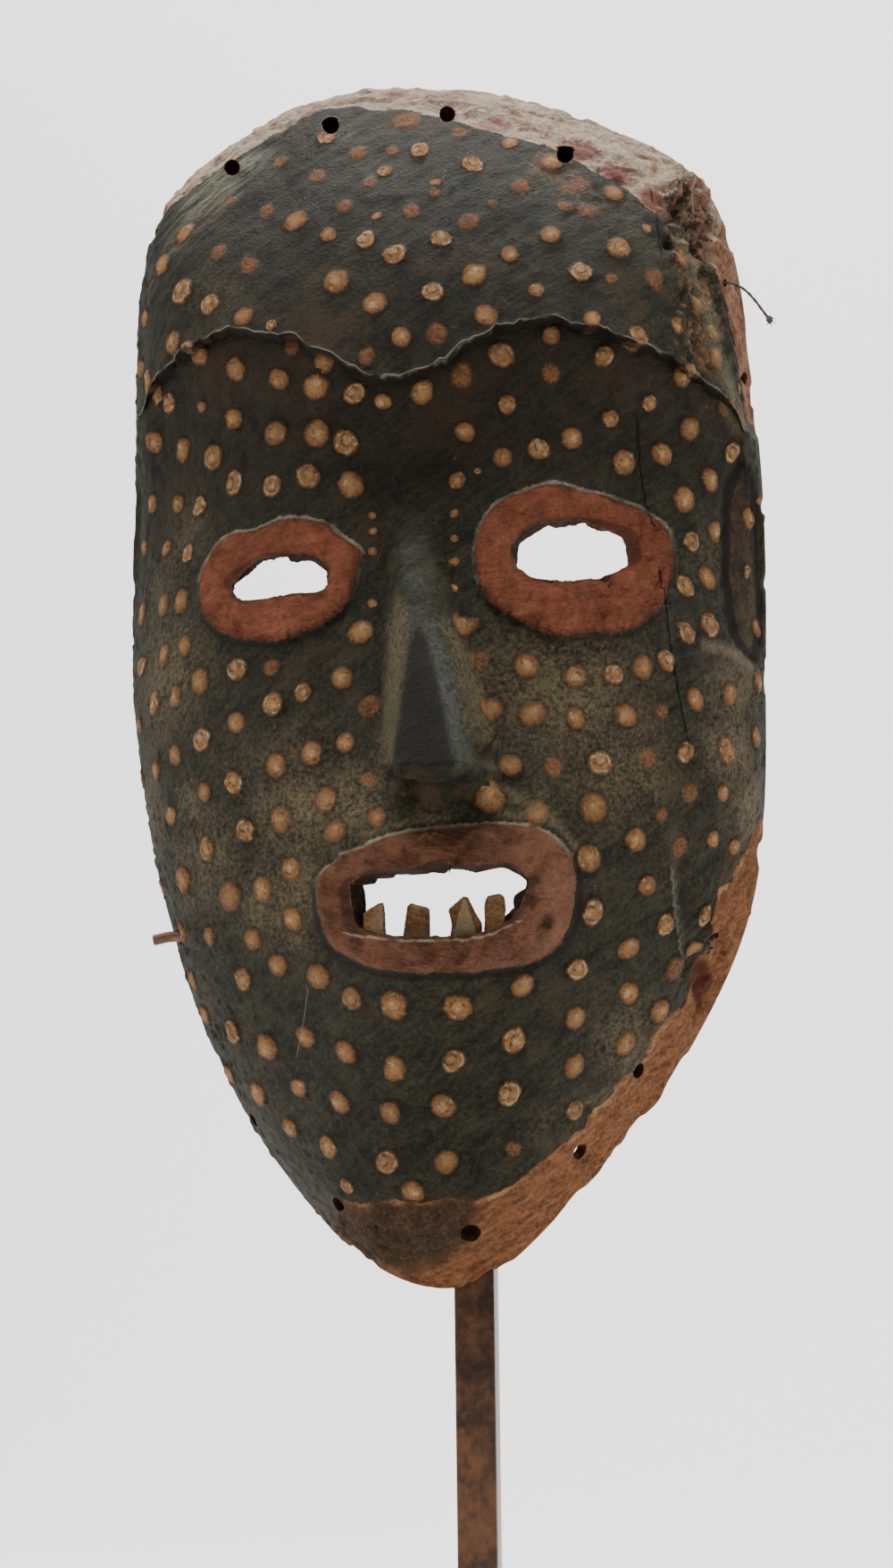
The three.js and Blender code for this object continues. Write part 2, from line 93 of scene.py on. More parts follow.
class Wire:
    def __init__(self, tree, socket=None):
        self.tree = tree
        self.socket = socket

    def node(self, kind, settings=None, sockets=None, output=0):
        made = self.tree.nodes.new("ShaderNode" + kind)
        for name, value in (settings or {}).items():
            setattr(made, name, value)
        for name, value in (sockets or {}).items():
            if isinstance(value, Wire):
                self.tree.links.new(value.socket, made.inputs[name])
            else:
                made.inputs[name].default_value = value
        return Wire(self.tree, made.outputs[output])

    def math(self, operation, first, second=0.0):
        return self.node("Math", {"operation": operation}, {0: first, 1: second})

    def __add__(self, other):
        return self.math("ADD", self, other)

    __radd__ = __add__

    def __mul__(self, other):
        return self.math("MULTIPLY", self, other)

    __rmul__ = __mul__

    def __sub__(self, other):
        return self.math("SUBTRACT", self, other)

    def __rsub__(self, other):
        return self.math("SUBTRACT", other, self)

    def __pow__(self, other):
        return self.math("POWER", self, other)

    def __abs__(self):
        return self.math("ABSOLUTE", self)

    # 0 below low, 1 above high, soft between them
    def rise(self, low, high):
        values = {"Value": self, "From Min": low, "From Max": high}
        return self.node("MapRange", {"interpolation_type": "SMOOTHSTEP"}, values)

    def field(self, name):
        return self.node("Attribute", {"attribute_name": name}, output="Fac")

    # cloudy noise about 0 with features of a size in mm, stretched along axes that are tilted in
    # the picture's plane
    def cloud(self, size, detail=2.0, rough=0.5, stretch=(1, 1, 1), shift=0.0, tilt=0.0):
        place = self.node("TexCoord", output="Object")
        turned = {
            "Scale": stretch, "Location": (shift,) * 3, "Rotation": (0, -math.radians(tilt), 0)}
        place = self.node("Mapping", {"vector_type": "TEXTURE"}, {"Vector": place, **turned})
        values = {"Vector": place, "Scale": 1 / (size * mm), "Detail": detail, "Roughness": rough}
        return self.node("TexNoise", {}, values) * 2.0 - 1.0

    # colour over colour, by a share
    def over(self, below, above, share):
        settings = {"data_type": "RGBA"}
        return self.node("Mix", settings, {0: share, 6: below, 7: above}, output=2)


# A colour as a shader takes it, from red, green and blue out of 255
def colour(red, green, blue):
    def linear(value):
        v = value / 255
        return v / 12.92 if v <= 0.04045 else ((v + 0.055) / 1.055) ** 2.4
    return (linear(red), linear(green), linear(blue), 1.0)


# A material's colour, laid coat over coat. A coat is a colour named in the look, or a wire
class Coats:
    def __init__(self, wire, look, ground):
        self.wire = wire
        self.look = look
        self.top = self.shade(ground)

    def shade(self, coat):
        return colour(*self.look[coat]) if isinstance(coat, str) else coat

    def blend(self, below, above, share):
        return self.wire.over(self.shade(below), self.shade(above), share)

    def lay(self, coat, share):
        self.top = self.blend(self.top, coat, share)


# A new material with its Principled shader, and a Wire to build the rest with
def newMaterial(name, **constants):
    material = bpy.data.materials.new(name)
    material.use_nodes = True
    tree = material.node_tree
    shader = next(n for n in tree.nodes if n.type == "BSDF_PRINCIPLED")
    for socket, value in constants.items():
        shader.inputs[socket.replace("_", " ")].default_value = value
    return material, Wire(tree), shader


def plug(wire, shader, socketName):
    shader.id_data.links.new(wire.socket, shader.inputs[socketName])


def bumped(wire, height, deep):
    values = {"Height": height, "Distance": deep * mm, "Strength": 1.0}
    return wire.node("Bump", {}, values, output="Normal")


def dress(piece, material):
    piece.data.materials.clear()
    piece.data.materials.append(material)


# Every piece rides on the one body and stands for a solid
def assign(piece, node, slot):
    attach(piece, "root")
    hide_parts(node)


def selectOnly(*objects):
    bpy.ops.object.select_all(action="DESELECT")
    for obj in objects:
        obj.select_set(True)
    bpy.context.view_layer.objects.active = objects[0]


def joinAll(*objects):
    selectOnly(*objects)
    bpy.ops.object.join()
    return bpy.context.object


def asMesh(obj):
    selectOnly(obj)
    bpy.ops.object.convert(target="MESH")
    return bpy.context.object


# A new primitive with nothing else selected
def addShape(name, operator, **settings):
    bpy.ops.object.select_all(action="DESELECT")
    operator(**settings)
    shape = bpy.context.object
    shape.name = name
    return shape


# Selects the edges or faces that a test picks, and stays in edit mode
def pick(obj, kind, test):
    bpy.ops.object.mode_set(mode="EDIT")
    bpy.ops.mesh.select_mode(type=kind)
    bpy.ops.mesh.select_all(action="DESELECT")
    bpy.ops.object.mode_set(mode="OBJECT")
    for element in obj.data.polygons if kind == "FACE" else obj.data.edges:
        element.select = test(element)
    bpy.ops.object.mode_set(mode="EDIT")


def editAll(operator, **settings):
    bpy.ops.object.mode_set(mode="EDIT")
    bpy.ops.mesh.select_all(action="SELECT")
    operator(**settings)
    bpy.ops.object.mode_set(mode="OBJECT")


# Backdrop and light: pale sweep, wide soft light from above and both sides, little from the front
stageLook = {
    "halfWidth": 5.0, "frontY": -4.5, "wallY": 3.2, "wallTop": 4.5, "bend": 1.2, "bendSteps": 24,
    "cloth": (246, 246, 245), "sky": (232, 236, 242), "skyStrength": 0.2,
    "aim": (0, 0, 0.27),                      # metres; what a light looks at unless it says
    "lights": {
        "topLight": {"at": (-0.1, -0.26, 1.6), "size": 0.7, "power": 30},
        "leftLight": {"at": (-1.5, -0.2, 0.8), "size": 1.2, "power": 11},
        "rightLight": {"at": (1.5, -0.15, 0.9), "size": 1.2, "power": 13.5},
        "frontLight": {"at": (-0.3, -2.2, 1.6), "size": 1.2, "power": 8},
        "wallLight": {"at": (0.0, 1.2, 3.2), "size": 2.0, "power": 215, "aim": (0, 3.2, 0.8)},
    },
}


# A floor whose far edge is drawn up to a wall, and the fold between them rounded
def makeBackdrop(look):
    sweep = addShape("backdrop", bpy.ops.mesh.primitive_plane_add, size=1)
    for vertex in sweep.data.vertices:
        vertex.co.x *= 2 * look["halfWidth"]
        vertex.co.y = look["frontY"] if vertex.co.y < 0 else look["wallY"]

    def isFar(edge):
        ends = [sweep.data.vertices[v].co for v in edge.vertices]
        return all(end.y > 0 and abs(end.z) < 1e-6 for end in ends)
    pick(sweep, "EDGE", isFar)
    bpy.ops.mesh.extrude_edges_move(TRANSFORM_OT_translate={"value": (0, 0, look["wallTop"])})
    bpy.ops.object.mode_set(mode="OBJECT")
    pick(sweep, "EDGE", isFar)
    bpy.ops.mesh.bevel(offset=look["bend"], segments=look["bendSteps"], affect="EDGES")
    bpy.ops.object.mode_set(mode="OBJECT")
    bpy.ops.object.shade_smooth()
    material, _, shader = newMaterial("backdropCloth", Roughness=0.95)
    shader.inputs["Base Color"].default_value = colour(*look["cloth"])
    dress(sweep, material)


def makeLights(look):
    world = bpy.data.worlds.new("paleWorld")
    world.use_nodes = True
    sky = next(n for n in world.node_tree.nodes if n.type == "BACKGROUND")
    sky.inputs["Color"].default_value = colour(*look["sky"])
    sky.inputs["Strength"].default_value = look["skyStrength"]
    bpy.context.scene.world = world
    for name, light in look["lights"].items():
        bpy.ops.object.light_add(type="AREA", location=light["at"])
        lamp = bpy.context.object
        lamp.name = name
        lamp.data.energy = light["power"]
        lamp.data.size = light["size"]
        toward = Vector(light.get("aim", look["aim"])) - Vector(light["at"])
        lamp.rotation_euler = toward.to_track_quat("-Z", "Y").to_euler()


makeBackdrop(stageLook)
makeLights(stageLook)
print("stage: backdrop and lights")

noiseGrid = np.random.default_rng(11).uniform(-1, 1, (32, 32, 32))


# Smooth noise from -1 to 1 at points in mm, with features of a size
def lumps(points, size, seed=0):
    p = np.asarray(points, float) / size + 5.37 * seed
    base = np.floor(p).astype(int)
    f = p - base
    f = f * f * (3 - 2 * f)
    total = np.zeros(len(p))
    for corner in itertools.product((0, 1), repeat=3):
        i, j, k = ((base + corner) % 32).T
        total += np.prod(np.where(corner, f, 1 - f), axis=1) * noiseGrid[i, j, k]
    return total


def readPoints(obj):
    values = np.empty(len(obj.data.vertices) * 3)
    obj.data.vertices.foreach_get("co", values)
    return values.reshape(-1, 3)


def writePoints(obj, points):
    obj.data.vertices.foreach_set("co", np.ascontiguousarray(points, float).ravel())
    obj.data.update()


# Thread: two thin strands twisted, out of the right wall, then over and down to a tiny frayed knot
thread = {
    "diameter": 0.8, "lobes": 0.16, "turn": 2.4, "sides": 16, "steps": 16,
    "exit": (67.8, -2.0, 370.5),
    "route": [
        (53, 2.2, 369.4), (57, 1.2, 370.2), (62, 0, 370.6), (67.8, -2, 370.5), (70.7, -3.2, 369.5),
        (72.9, -4.3, 367.8), (75.2, -5.4, 365.1), (77.4, -6.2, 361.8), (79.2, -6.8, 359.1),
    ],
    "knot": 0.85, "knotStretch": (1.0, 1.0, 1.25), "knotUneven": 0.28, "knotLumps": 0.45,
    "fraySides": 8, "fraySteps": 4, "frayBend": 0.55, "fraySag": (0.15, -0.1, 0.2),
    "frays": [
        ((1.5, -0.3, -1.2), 0.2), ((0.5, -0.4, -1.9), 0.22), ((-0.7, 0.3, -1.5), 0.18),
        ((1.7, 0.2, 0.1), 0.16),
    ],
    "dark": (34, 30, 26), "light": (104, 90, 72),
}


def smoothRoute(route, perStep):
    route = [Vector(p) for p in route]
    ends = [route[0] * 2 - route[1]] + route + [route[-1] * 2 - route[-2]]
    points = []
    for before, here, after, later in zip(ends, ends[1:], ends[2:], ends[3:]):
        for n in range(perStep):
            w = n / perStep
            leave, arrive = (after - before) / 2, (later - here) / 2
            bend = (after - here) * 3 - leave * 2 - arrive
            level = (here - after) * 2 + leave + arrive
            points.append(here + leave * w + bend * w**2 + level * w**3)
    return points + [route[-1]]


# A round bar along a route in mm, made a mesh with closed ends
def makeBar(name, route, diameter, sides, perStep):
    bpy.ops.object.select_all(action="DESELECT")
    curve = bpy.data.curves.new(name, "CURVE")
    curve.dimensions = "3D"
    spline = curve.splines.new("POLY")
    points = smoothRoute(route, perStep)
    spline.points.add(len(points) - 1)
    for point, place in zip(spline.points, points):
        point.co = (*[v * mm for v in place], 1)
    curve.bevel_depth = diameter / 2 * mm
    curve.bevel_resolution = sides // 4
    curve.use_fill_caps = True
    bar = bpy.data.objects.new(name, curve)
    bpy.context.collection.objects.link(bar)
    return bar


def threadFibre():
    material, wire, shader = newMaterial("plantFibre", Roughness=0.9)
    twist = wire.cloud(0.5, 4, 0.65)
    fibre = Coats(wire, thread, "dark")
    fibre.lay("light", twist.rise(-0.4, 0.7))
    plug(fibre.top, shader, "Base Color")
    plug(bumped(wire, twist, 0.08), shader, "Normal")
    return material


# The knot at the thread's end: a small lump with loose fibres
def makeKnot(material):
    end = Vector(thread["route"][-1])
    knot = addShape(
        "knot", bpy.ops.mesh.primitive_ico_sphere_add, subdivisions=3, radius=thread["knot"])
    points = readPoints(knot)
    swell = 1 + thread["knotUneven"] * lumps(points, thread["knotLumps"], 41)
    points = points * thread["knotStretch"] * swell[:, None]
    writePoints(knot, (points + np.array(end)) * mm)
    frays = []
    for tip, size in thread["frays"]:
        tip = Vector(tip)
        bend = tip * thread["frayBend"] + Vector(thread["fraySag"])
        frays.append(asMesh(makeBar(
            "fray", [end, end + bend, end + tip], size, thread["fraySides"], thread["fraySteps"])))
    knot = joinAll(knot, *frays)
    knot.name = knot.data.name = "threadKnot"
    dress(knot, material)
    bpy.ops.object.shade_smooth()
    return knot


# The strands are lobes of the bar's section that turn along it
def makeThread():
    route, steps = thread["route"], thread["steps"]
    strand = asMesh(makeBar("threadStrand", route, thread["diameter"], thread["sides"], steps))
    line = np.array([tuple(p) for p in smoothRoute(route, steps)])
    points = readPoints(strand) / mm
    nearest = np.argmin(np.linalg.norm(points[:, None] - line[None], axis=2), axis=1)
    along = np.concatenate([[0], np.cumsum(np.linalg.norm(np.diff(line, axis=0), axis=1))])
    offset = points - line[nearest]
    angle = np.arctan2(offset[:, 1], offset[:, 2]) * 2 - along[nearest] / thread["turn"] * 2 * np.pi
    lobes = 1 - thread["lobes"] + thread["lobes"] * np.cos(angle)
    writePoints(strand, (line[nearest] + offset * lobes[:, None]) * mm)
    bpy.ops.object.shade_smooth()
    material = threadFibre()
    dress(strand, material)
    knot = makeKnot(material)
    for piece in (strand, knot):
        assign(piece, "thread", "plant_fibre")
    [v * mm for v in thread["exit"]]
    print("stage: thread", round(along[-1], 1), "mm")


makeThread()

# The mask's form, in mm in its own frame: x to the viewer's right, z up, forward to the viewer.
# The rim plane is at 0 forward. The values are those of the solid.
maskForm = {
    "place": (-2.6, 12.0, 268.0), "lean": math.radians(2.9),
    "rim": [
        (78, 0), (80.3, 64), (73, 125), (38, 151), (0, 162.5), (-38, 159), (-73, 132), (-82.8, 67),
        (-86, 0), (-78, -62), (-59, -111), (-32, -143.5), (-5, -151.3), (23, -130), (50, -98),
        (71, -57),
    ],
    "rimWidth": 7.5, "chinLift": 17.3, "chinLiftFrom": 0.75, "domeDepth": 58, "innerDepth": 47,
    "reachPower": 0.9, "rimFade": 0.17, "innerFollow": (0.6, 0.3),
    "round": (2.1, 2.6, 2.3), "edge": (1.8, 1.7, 1.5),      # side, top and chin sections
    "frontCells": (214, 346), "backCells": (80, 130), "treeCells": (90, 150), "rimCuts": 3,
    "smoothUnder": 38,                        # degrees between faces
}
# Rows of the front's grid that are packed together along the brow and under the nose
rows = {
    "brow": 14, "browSpan": (-2.6, 1.4), "belowBrow": 0.7,       # mm about the line; share below
    "nose": 8, "noseSpan": (0.6, 0.8), "noseFade": (0.28, 0.5),  # mm past it; share of the width
}
# The brow's edge follows the line read in the picture
brow = {
    "proud": 2.6, "fade": 30, "stepWidth": 0.7, "crest": 0.1,
    "ends": ((-81, -68), (74, 80)),           # x over which its step runs out at each side
    "line": [
        (157, 460), (167, 433), (175, 417), (187, 407), (200, 395), (212, 387), (225, 380),
        (240, 374), (255, 371), (267, 370), (285, 371), (305, 373), (320, 374), (335, 379),
        (347, 386), (365, 394), (380, 402), (395, 412), (410, 419), (425, 421), (445, 422),
        (460, 420), (475, 415), (490, 405), (505, 396), (517, 385), (530, 377), (550, 370),
        (570, 363), (590, 360), (610, 357), (630, 354), (642, 360), (670, 366), (695, 375),
        (715, 382), (735, 392), (755, 405), (775, 415), (795, 430), (815, 445), (825, 462),
        (832, 482),
    ],
}
hollows = {
    "orbit": {"step": 2.6, "depth": 8, "fullAt": 22, "endFrom": 34, "endAt": 78},
    "glabella": {"x": -3, "z": 56, "wide": 15, "high": 20, "rise": -4.5},
    "forehead": {"x": -3, "z": 100, "wide": 55, "high": 38, "rise": 6},
    "muzzle": {"x": -1, "z": -61, "wide": 38, "high": 34, "rise": 12},
    "cheek": {"x": 44, "z": -8, "wide": 24, "high": 26, "rise": 2.5},
    "jawStep": {"x": 52.8, "soft": 1.4, "top": -50, "bottom": -90, "fade": 13, "drop": 3},
    "bareBand": {"reach": 0.76, "soft": 0.02, "drop": 2, "middle": -68, "half": 42, "fade": 12},
}
nose = {
    "rootZ": 47, "tipZ": -29.8, "rise": (0.8, 21), "swell": 1.5, "under": 6.2,
    "uneven": 0.45, "underUneven": 0.5,
    "stations": (0.0, 0.22, 0.58, 1.0),       # from the root to the tip
    "edges": [                                # x at the stations, share of the rise
        ((-11, -12.4, -13.6, -11.8), 0), ((-6, -6.4, -5.3, -7.7), 1), ((-3, -2.8, -1.2, 6.2), 1),
        ((-1.4, 0.2, 5.6, 11.4), 0.74), ((2, 3.6, 9.2, 14.8), 0),
    ],
}
# Carved outlines as read in the picture, in its own units, across and down
outlines = {
    "leftEye": [
        (222, 656), (224, 638), (231, 625), (239, 612), (250, 601), (262, 595), (282, 593),
        (295, 588), (310, 581), (325, 579), (342, 580), (360, 583), (370, 590), (380, 599),
        (397, 609), (404, 615), (403, 622), (399, 634), (397, 645), (391, 669), (384, 681),
        (373, 689), (360, 700), (342, 706), (317, 715), (302, 717), (282, 716), (260, 714),
        (242, 704), (229, 690), (223, 674),
    ],
    "leftEyeHole": [
        (250, 655), (251, 647), (260, 639), (275, 630), (288, 624), (302, 620), (317, 619),
        (328, 619), (342, 620), (350, 624), (361, 630), (366, 636), (367, 646), (366, 656),
        (361, 660), (353, 663), (331, 664), (313, 667), (291, 671), (270, 673), (261, 670),
        (257, 662),
    ],
    "leftEyeSeen": [
        (262, 664), (262, 656), (266, 652), (282, 640), (295, 628), (304, 627), (320, 623),
        (327, 629), (333, 630), (338, 628), (349, 628), (357, 634), (365, 640), (366, 650),
        (365, 656), (361, 661), (353, 664), (331, 664), (313, 667), (291, 671), (272, 672),
        (265, 668),
    ],
    "rightEye": [
        (532, 630), (530, 616), (534, 598), (539, 583), (545, 572), (555, 563), (569, 556),
        (585, 549), (601, 544), (615, 540), (635, 543), (655, 550), (675, 553), (691, 558),
        (707, 564), (717, 568), (729, 577), (741, 584), (749, 594), (753, 610), (755, 626),
        (753, 640), (747, 654), (745, 668), (739, 682), (727, 692), (711, 702), (689, 707),
        (667, 707), (645, 709), (623, 710), (607, 707), (595, 700), (579, 692), (560, 683),
        (545, 670), (536, 650),
    ],
    "rightEyeHole": [
        (574, 622), (573, 612), (583, 597), (595, 588), (609, 583), (627, 580), (651, 579),
        (667, 581), (685, 585), (701, 590), (712, 596), (715, 610), (718, 622), (716, 628),
        (703, 633), (687, 641), (669, 647), (645, 650), (627, 650), (601, 648), (589, 643),
        (580, 636),
    ],
    "rightEyeSeen": [
        (579, 622), (581, 610), (591, 602), (600, 597), (613, 588), (617, 589), (621, 591),
        (635, 589), (655, 586), (663, 592), (673, 595), (681, 594), (687, 598), (696, 600),
        (700, 612), (703, 626), (702, 634), (687, 642), (669, 648), (645, 650), (627, 651),
        (601, 648), (589, 643), (580, 635),
    ],
    "mouth": [
        (352, 1005), (351, 991), (353, 980), (362, 971), (374, 964), (380, 955), (403, 947),
        (426, 937), (453, 930), (476, 927), (503, 924), (530, 922), (553, 920), (576, 921),
        (594, 924), (608, 929), (619, 935), (628, 945), (637, 954), (641, 966), (643, 980),
        (643, 996), (640, 1023), (635, 1037), (628, 1050), (617, 1062), (603, 1072), (585, 1079),
        (558, 1083), (530, 1087), (503, 1087), (471, 1088), (444, 1087), (421, 1083), (403, 1078),
        (387, 1069), (374, 1062), (363, 1050), (358, 1035), (353, 1019),
    ],
    "mouthHole": [
        (380, 1008), (380, 994), (387, 984), (399, 979), (415, 975), (435, 974), (462, 971),
        (476, 968), (483, 964), (494, 964), (503, 968), (524, 970), (549, 966), (571, 966),
        (580, 973), (590, 980), (596, 988), (598, 1000), (592, 1012), (582, 1020), (576, 1030),
        (562, 1037), (540, 1044), (508, 1049), (480, 1049), (449, 1049), (421, 1046), (390, 1043),
        (384, 1032),
    ],
    "mouthSeen": [
        (410, 1005), (407, 991), (421, 989), (424, 984), (440, 983), (444, 979), (479, 979),
        (482, 977), (502, 978), (503, 973), (524, 974), (533, 977), (551, 973), (562, 971),
        (571, 973), (574, 977), (579, 977), (590, 987), (589, 994), (583, 998), (575, 1004),
        (575, 1016), (567, 1024), (552, 1040), (530, 1046), (505, 1048), (483, 1048), (450, 1048),
        (425, 1044), (411, 1024),
    ],
}
eyeRing = {"proud": 2.0, "low": -0.4, "high": 0.7, "wall": 11.5, "sides": 120}
mouthRing = {"proud": 4.5, "low": -0.6, "high": 1.2, "wall": 15, "sides": 150}
ringEdge = {"uneven": 0.25, "sink": 0.8, "sinkOver": (-2.6, 0.4)}


def smoothStep(low, high, value):
    t = np.clip((np.asarray(value, float) - low) / (high - low), 0, 1)
    return t * t * (3 - 2 * t)


def mix(a, b, share):
    return a + (b - a) * share


def roughLumps(points, size, octaves=3, seed=0):
    return sum(lumps(points, size / 2**n, seed + n) / 2**n for n in range(octaves))


# Share of patches of a size: 0 where their noise is under low, 1 where it is over high
def patchy(points, size, seed, low, high):
    return smoothStep(low, high, lumps(points, size, seed))


# A place along a line as points, for noise that only runs along it
def alongOnly(values):
    return np.stack([values, values * 0, values * 0], axis=-1)


# Share of a round spot at places (x, z), 1 at its middle
def spotShare(x, z, spot):
    return np.exp(-((x - spot["x"]) / spot["wide"]) ** 2 - ((z - spot["z"]) / spot["high"]) ** 2)


def browHeight(x):
    x = np.asarray(x, float)
    line = alongOnly(x).reshape(-1, 3)
    ragged = (0.9 * lumps(line, 3.4, 62) + 1.0 * lumps(line, 1.3, 63)).reshape(x.shape)
    return np.interp(x, *brow["places"].T) + ragged


def browEnds(x):
    left, right = brow["ends"]
    return smoothStep(*left, x) * (1 - smoothStep(*right, x))


def mounds(x, z, *_):
    forms = sum(hollows[name]["rise"] * spotShare(x, z, hollows[name])
                for name in ("glabella", "forehead", "muzzle"))
    return forms + hollows["cheek"]["rise"] * spotShare(np.abs(x), z, hollows["cheek"])


# Forms of the face over its dome; the inside follows the low ones
def lowForms(x, z):
    orbit = hollows["orbit"]
    below = np.maximum(browHeight(x) - z, 0)
    depth = mix(orbit["step"], orbit["depth"], smoothStep(0, orbit["fullAt"], below))
    depth = depth * (1 - smoothStep(orbit["endFrom"], orbit["endAt"], below))
    under = 1 - smoothStep(-brow["stepWidth"], brow["crest"], z - browHeight(x))
    return mounds(x, z) - depth * mix(smoothStep(0, orbit["fullAt"], below), under, browEnds(x))


def edgeForms(x, z, turn, reach):
    above = z - browHeight(x)
    over = smoothStep(-brow["stepWidth"], brow["crest"], above)
    browEdge = over * brow["proud"] * np.exp(-np.maximum(above, 0) / brow["fade"]) * browEnds(x)
    jaw, bare = hollows["jawStep"], hollows["bareBand"]
    step = jaw["drop"] * smoothStep(0, jaw["soft"], x - jaw["x"])
    step = step * smoothStep(jaw["bottom"], jaw["bottom"] + jaw["fade"], z)
    step = step * (1 - smoothStep(jaw["top"], jaw["top"] + jaw["fade"], z))
    away = np.abs(np.degrees(turn) - bare["middle"])
    band = bare["drop"] * (1 - smoothStep(bare["half"] - bare["fade"], bare["half"], away))
    band = band * smoothStep(bare["reach"] - bare["soft"], bare["reach"] + bare["soft"], reach)
    return browEdge - np.maximum(step, band)


# Distance in mm inside an outline of corners (x, z) in the mask's own frame, negative outside it
def insideOutline(x, z, corners, most=12):
    corners = np.array(corners, float)
    low, high = corners.min(axis=0) - most, corners.max(axis=0) + most
    near = np.where((x > low[0]) & (x < high[0]) & (z > low[1]) & (z < high[1]))[0]
    points = np.stack([x[near], z[near]], axis=-1)
    best, inside = np.full(len(near), float(most)), np.zeros(len(near), bool)
    for start, end in zip(corners, np.roll(corners, -1, axis=0)):
        way = end - start
        share = np.clip((points - start) @ way / max(way @ way, 1e-9), 0, 1)
        best = np.minimum(best, np.linalg.norm(points - (start + share[:, None] * way), axis=1))
        crosses = (start[1] > points[:, 1]) != (end[1] > points[:, 1])
        rise = way[1] if way[1] else 1e-9
        inside ^= crosses & (points[:, 0] < start[0] + (points[:, 1] - start[1]) / rise * way[0])
    field = np.full(len(x), -float(most))
    field[near] = np.where(inside, best, -best)
    return field


# All the forms of the face but its nose and its rings
def plainForms(x, z, turn, reach):
    return lowForms(x, z) + edgeForms(x, z, turn, reach)


# A coarse copy of the face with some of its forms, lifted forward, to lay the picture's outlines on
def faceTree(lift, forms):
    across, up = maskForm["treeCells"]
    a, b = np.meshgrid(np.linspace(-1, 1, across), np.linspace(-1, 1, up))
    x, z, forward, turn, reach = domePlace(a.ravel(), b.ravel(), 0, maskForm["domeDepth"])
    points = toRow(x, forward + rimHold(reach) * forms(x, z, turn, reach) + lift, z)
    corner = (np.arange(up - 1)[:, None] * across + np.arange(across - 1)).ravel()
    faces = np.stack([corner, corner + 1, corner + across + 1, corner + across], axis=-1)
    return BVHTree.FromPolygons(points.tolist(), faces.tolist())


# The picture's spots laid on a surface: where each line of sight meets it, in mm. A spot just past
# the edge is drawn towards the middle of the picture until it meets
drawnIn = {"toward": (500, 800), "step": 2, "tries": 12}


def layOn(tree, spots):
    found = []
    middle = np.array(drawnIn["toward"], float)
    for spot in spots:
        aimed = np.array(spot[:2], float)
        for _ in range(drawnIn["tries"]):
            start, way = sightLine(aimed)
            hit = tree.ray_cast(start / mm, way)[0]
            if hit is not None:
                break
            aimed += (middle - aimed) / np.linalg.norm(middle - aimed) * drawnIn["step"]
        found.append(tuple(hit) if hit is not None else (0.0, 0.0, -999.0))
    return np.array(found)


# Corners (x, z) in the mask's frame of an outline read in the picture
def onFace(tree, spots):
    x, _, z = toMask(layOn(tree, spots))
    return np.stack([x, z], axis=-1)


def ringForms(x, z, rings):
    total = 0
    for name, made in rings.items():
        cut = mouthRing if name == "mouth" else eyeRing
        wander = lumps(np.stack([x, z, x * 0], -1), 3.0, 71)
        field = made["ring"] + ringEdge["uneven"] * wander
        total = total + cut["proud"] * smoothStep(cut["low"], cut["high"], field)
        total = total - ringEdge["sink"] * smoothStep(*ringEdge["sinkOver"], made["hole"])
    return total


def noseForm(x, z):
    t = np.clip((nose["rootZ"] - z) / (nose["rootZ"] - nose["tipZ"]), 0, 1)
    edges = []
    for n, (places, share) in enumerate(nose["edges"]):
        wander = nose["uneven"] * lumps(alongOnly(z), 7, 80 + n)
        edges.append((np.interp(t, nose["stations"], places) + wander, share))
    profile = np.zeros_like(x)
    for (left, low), (right, high) in zip(edges, edges[1:]):
        share = np.clip((x - left) / (right - left), 0, 1)
        profile = np.where((x >= left) & (x <= right), mix(low, high, share), profile)
    rise = mix(*nose["rise"], 1 - (1 - t) ** nose["swell"]) * smoothStep(0, 0.25, t)
    below = nose["tipZ"] - z + nose["underUneven"] * lumps(alongOnly(x), 4, 90)
    return rise * profile * (1 - np.clip(below / nose["under"], 0, 1))


def rimAt(turn):
    points = np.array(maskForm["rim"], float)
    place = (turn / (2 * np.pi)) % 1 * len(points)
    first = np.floor(place).astype(int)
    w = (place - first)[..., None]
    before, here, after, later = (points[(first + k) % len(points)] for k in (-1, 0, 1, 2))
    leave, arrive = (after - before) / 2, (later - here) / 2
    bend = -3 * here + 3 * after - 2 * leave - arrive
    return here + leave * w + bend * w**2 + (2 * here - 2 * after + leave + arrive) * w**3


def domeForward(turn, spread, depth):
    up, down = np.maximum(np.sin(turn), 0) ** 2, np.maximum(-np.sin(turn), 0) ** 2
    (side, top, chin), (sideEdge, topEdge, chinEdge) = maskForm["round"], maskForm["edge"]
    bend = mix(side, top, up) + (chin - side) * down
    edge = mix(sideEdge, topEdge, up) + (chinEdge - sideEdge) * down
    rimForward = maskForm["chinLift"] * smoothStep(maskForm["chinLiftFrom"], 1, -np.sin(turn))
    return rimForward + (depth - rimForward) * np.maximum(1 - spread**bend, 0) ** (1 / edge)


# Places on a dome for points of a square from -1 to 1, laid over the rim outline as a disc
def domePlace(a, b, inset, depth):
    discX, discZ = a * np.sqrt(1 - b * b / 2), b * np.sqrt(1 - a * a / 2)
    turn, reach = np.arctan2(discZ, discX), np.minimum(np.hypot(discX, discZ), 1)
    return turnedPlace(turn, reach, inset, depth)


def turnedPlace(turn, reach, inset, depth):
    spread = np.sin(reach * np.pi / 2) ** maskForm["reachPower"]
    rim = rimAt(turn)
    scale = spread * (1 - inset / np.hypot(rim[..., 0], rim[..., 1]))
    return rim[..., 0] * scale, rim[..., 1] * scale, domeForward(turn, spread, depth), turn, reach


def rimHold(reach):
    return smoothStep(0, maskForm["rimFade"], 1 - reach)


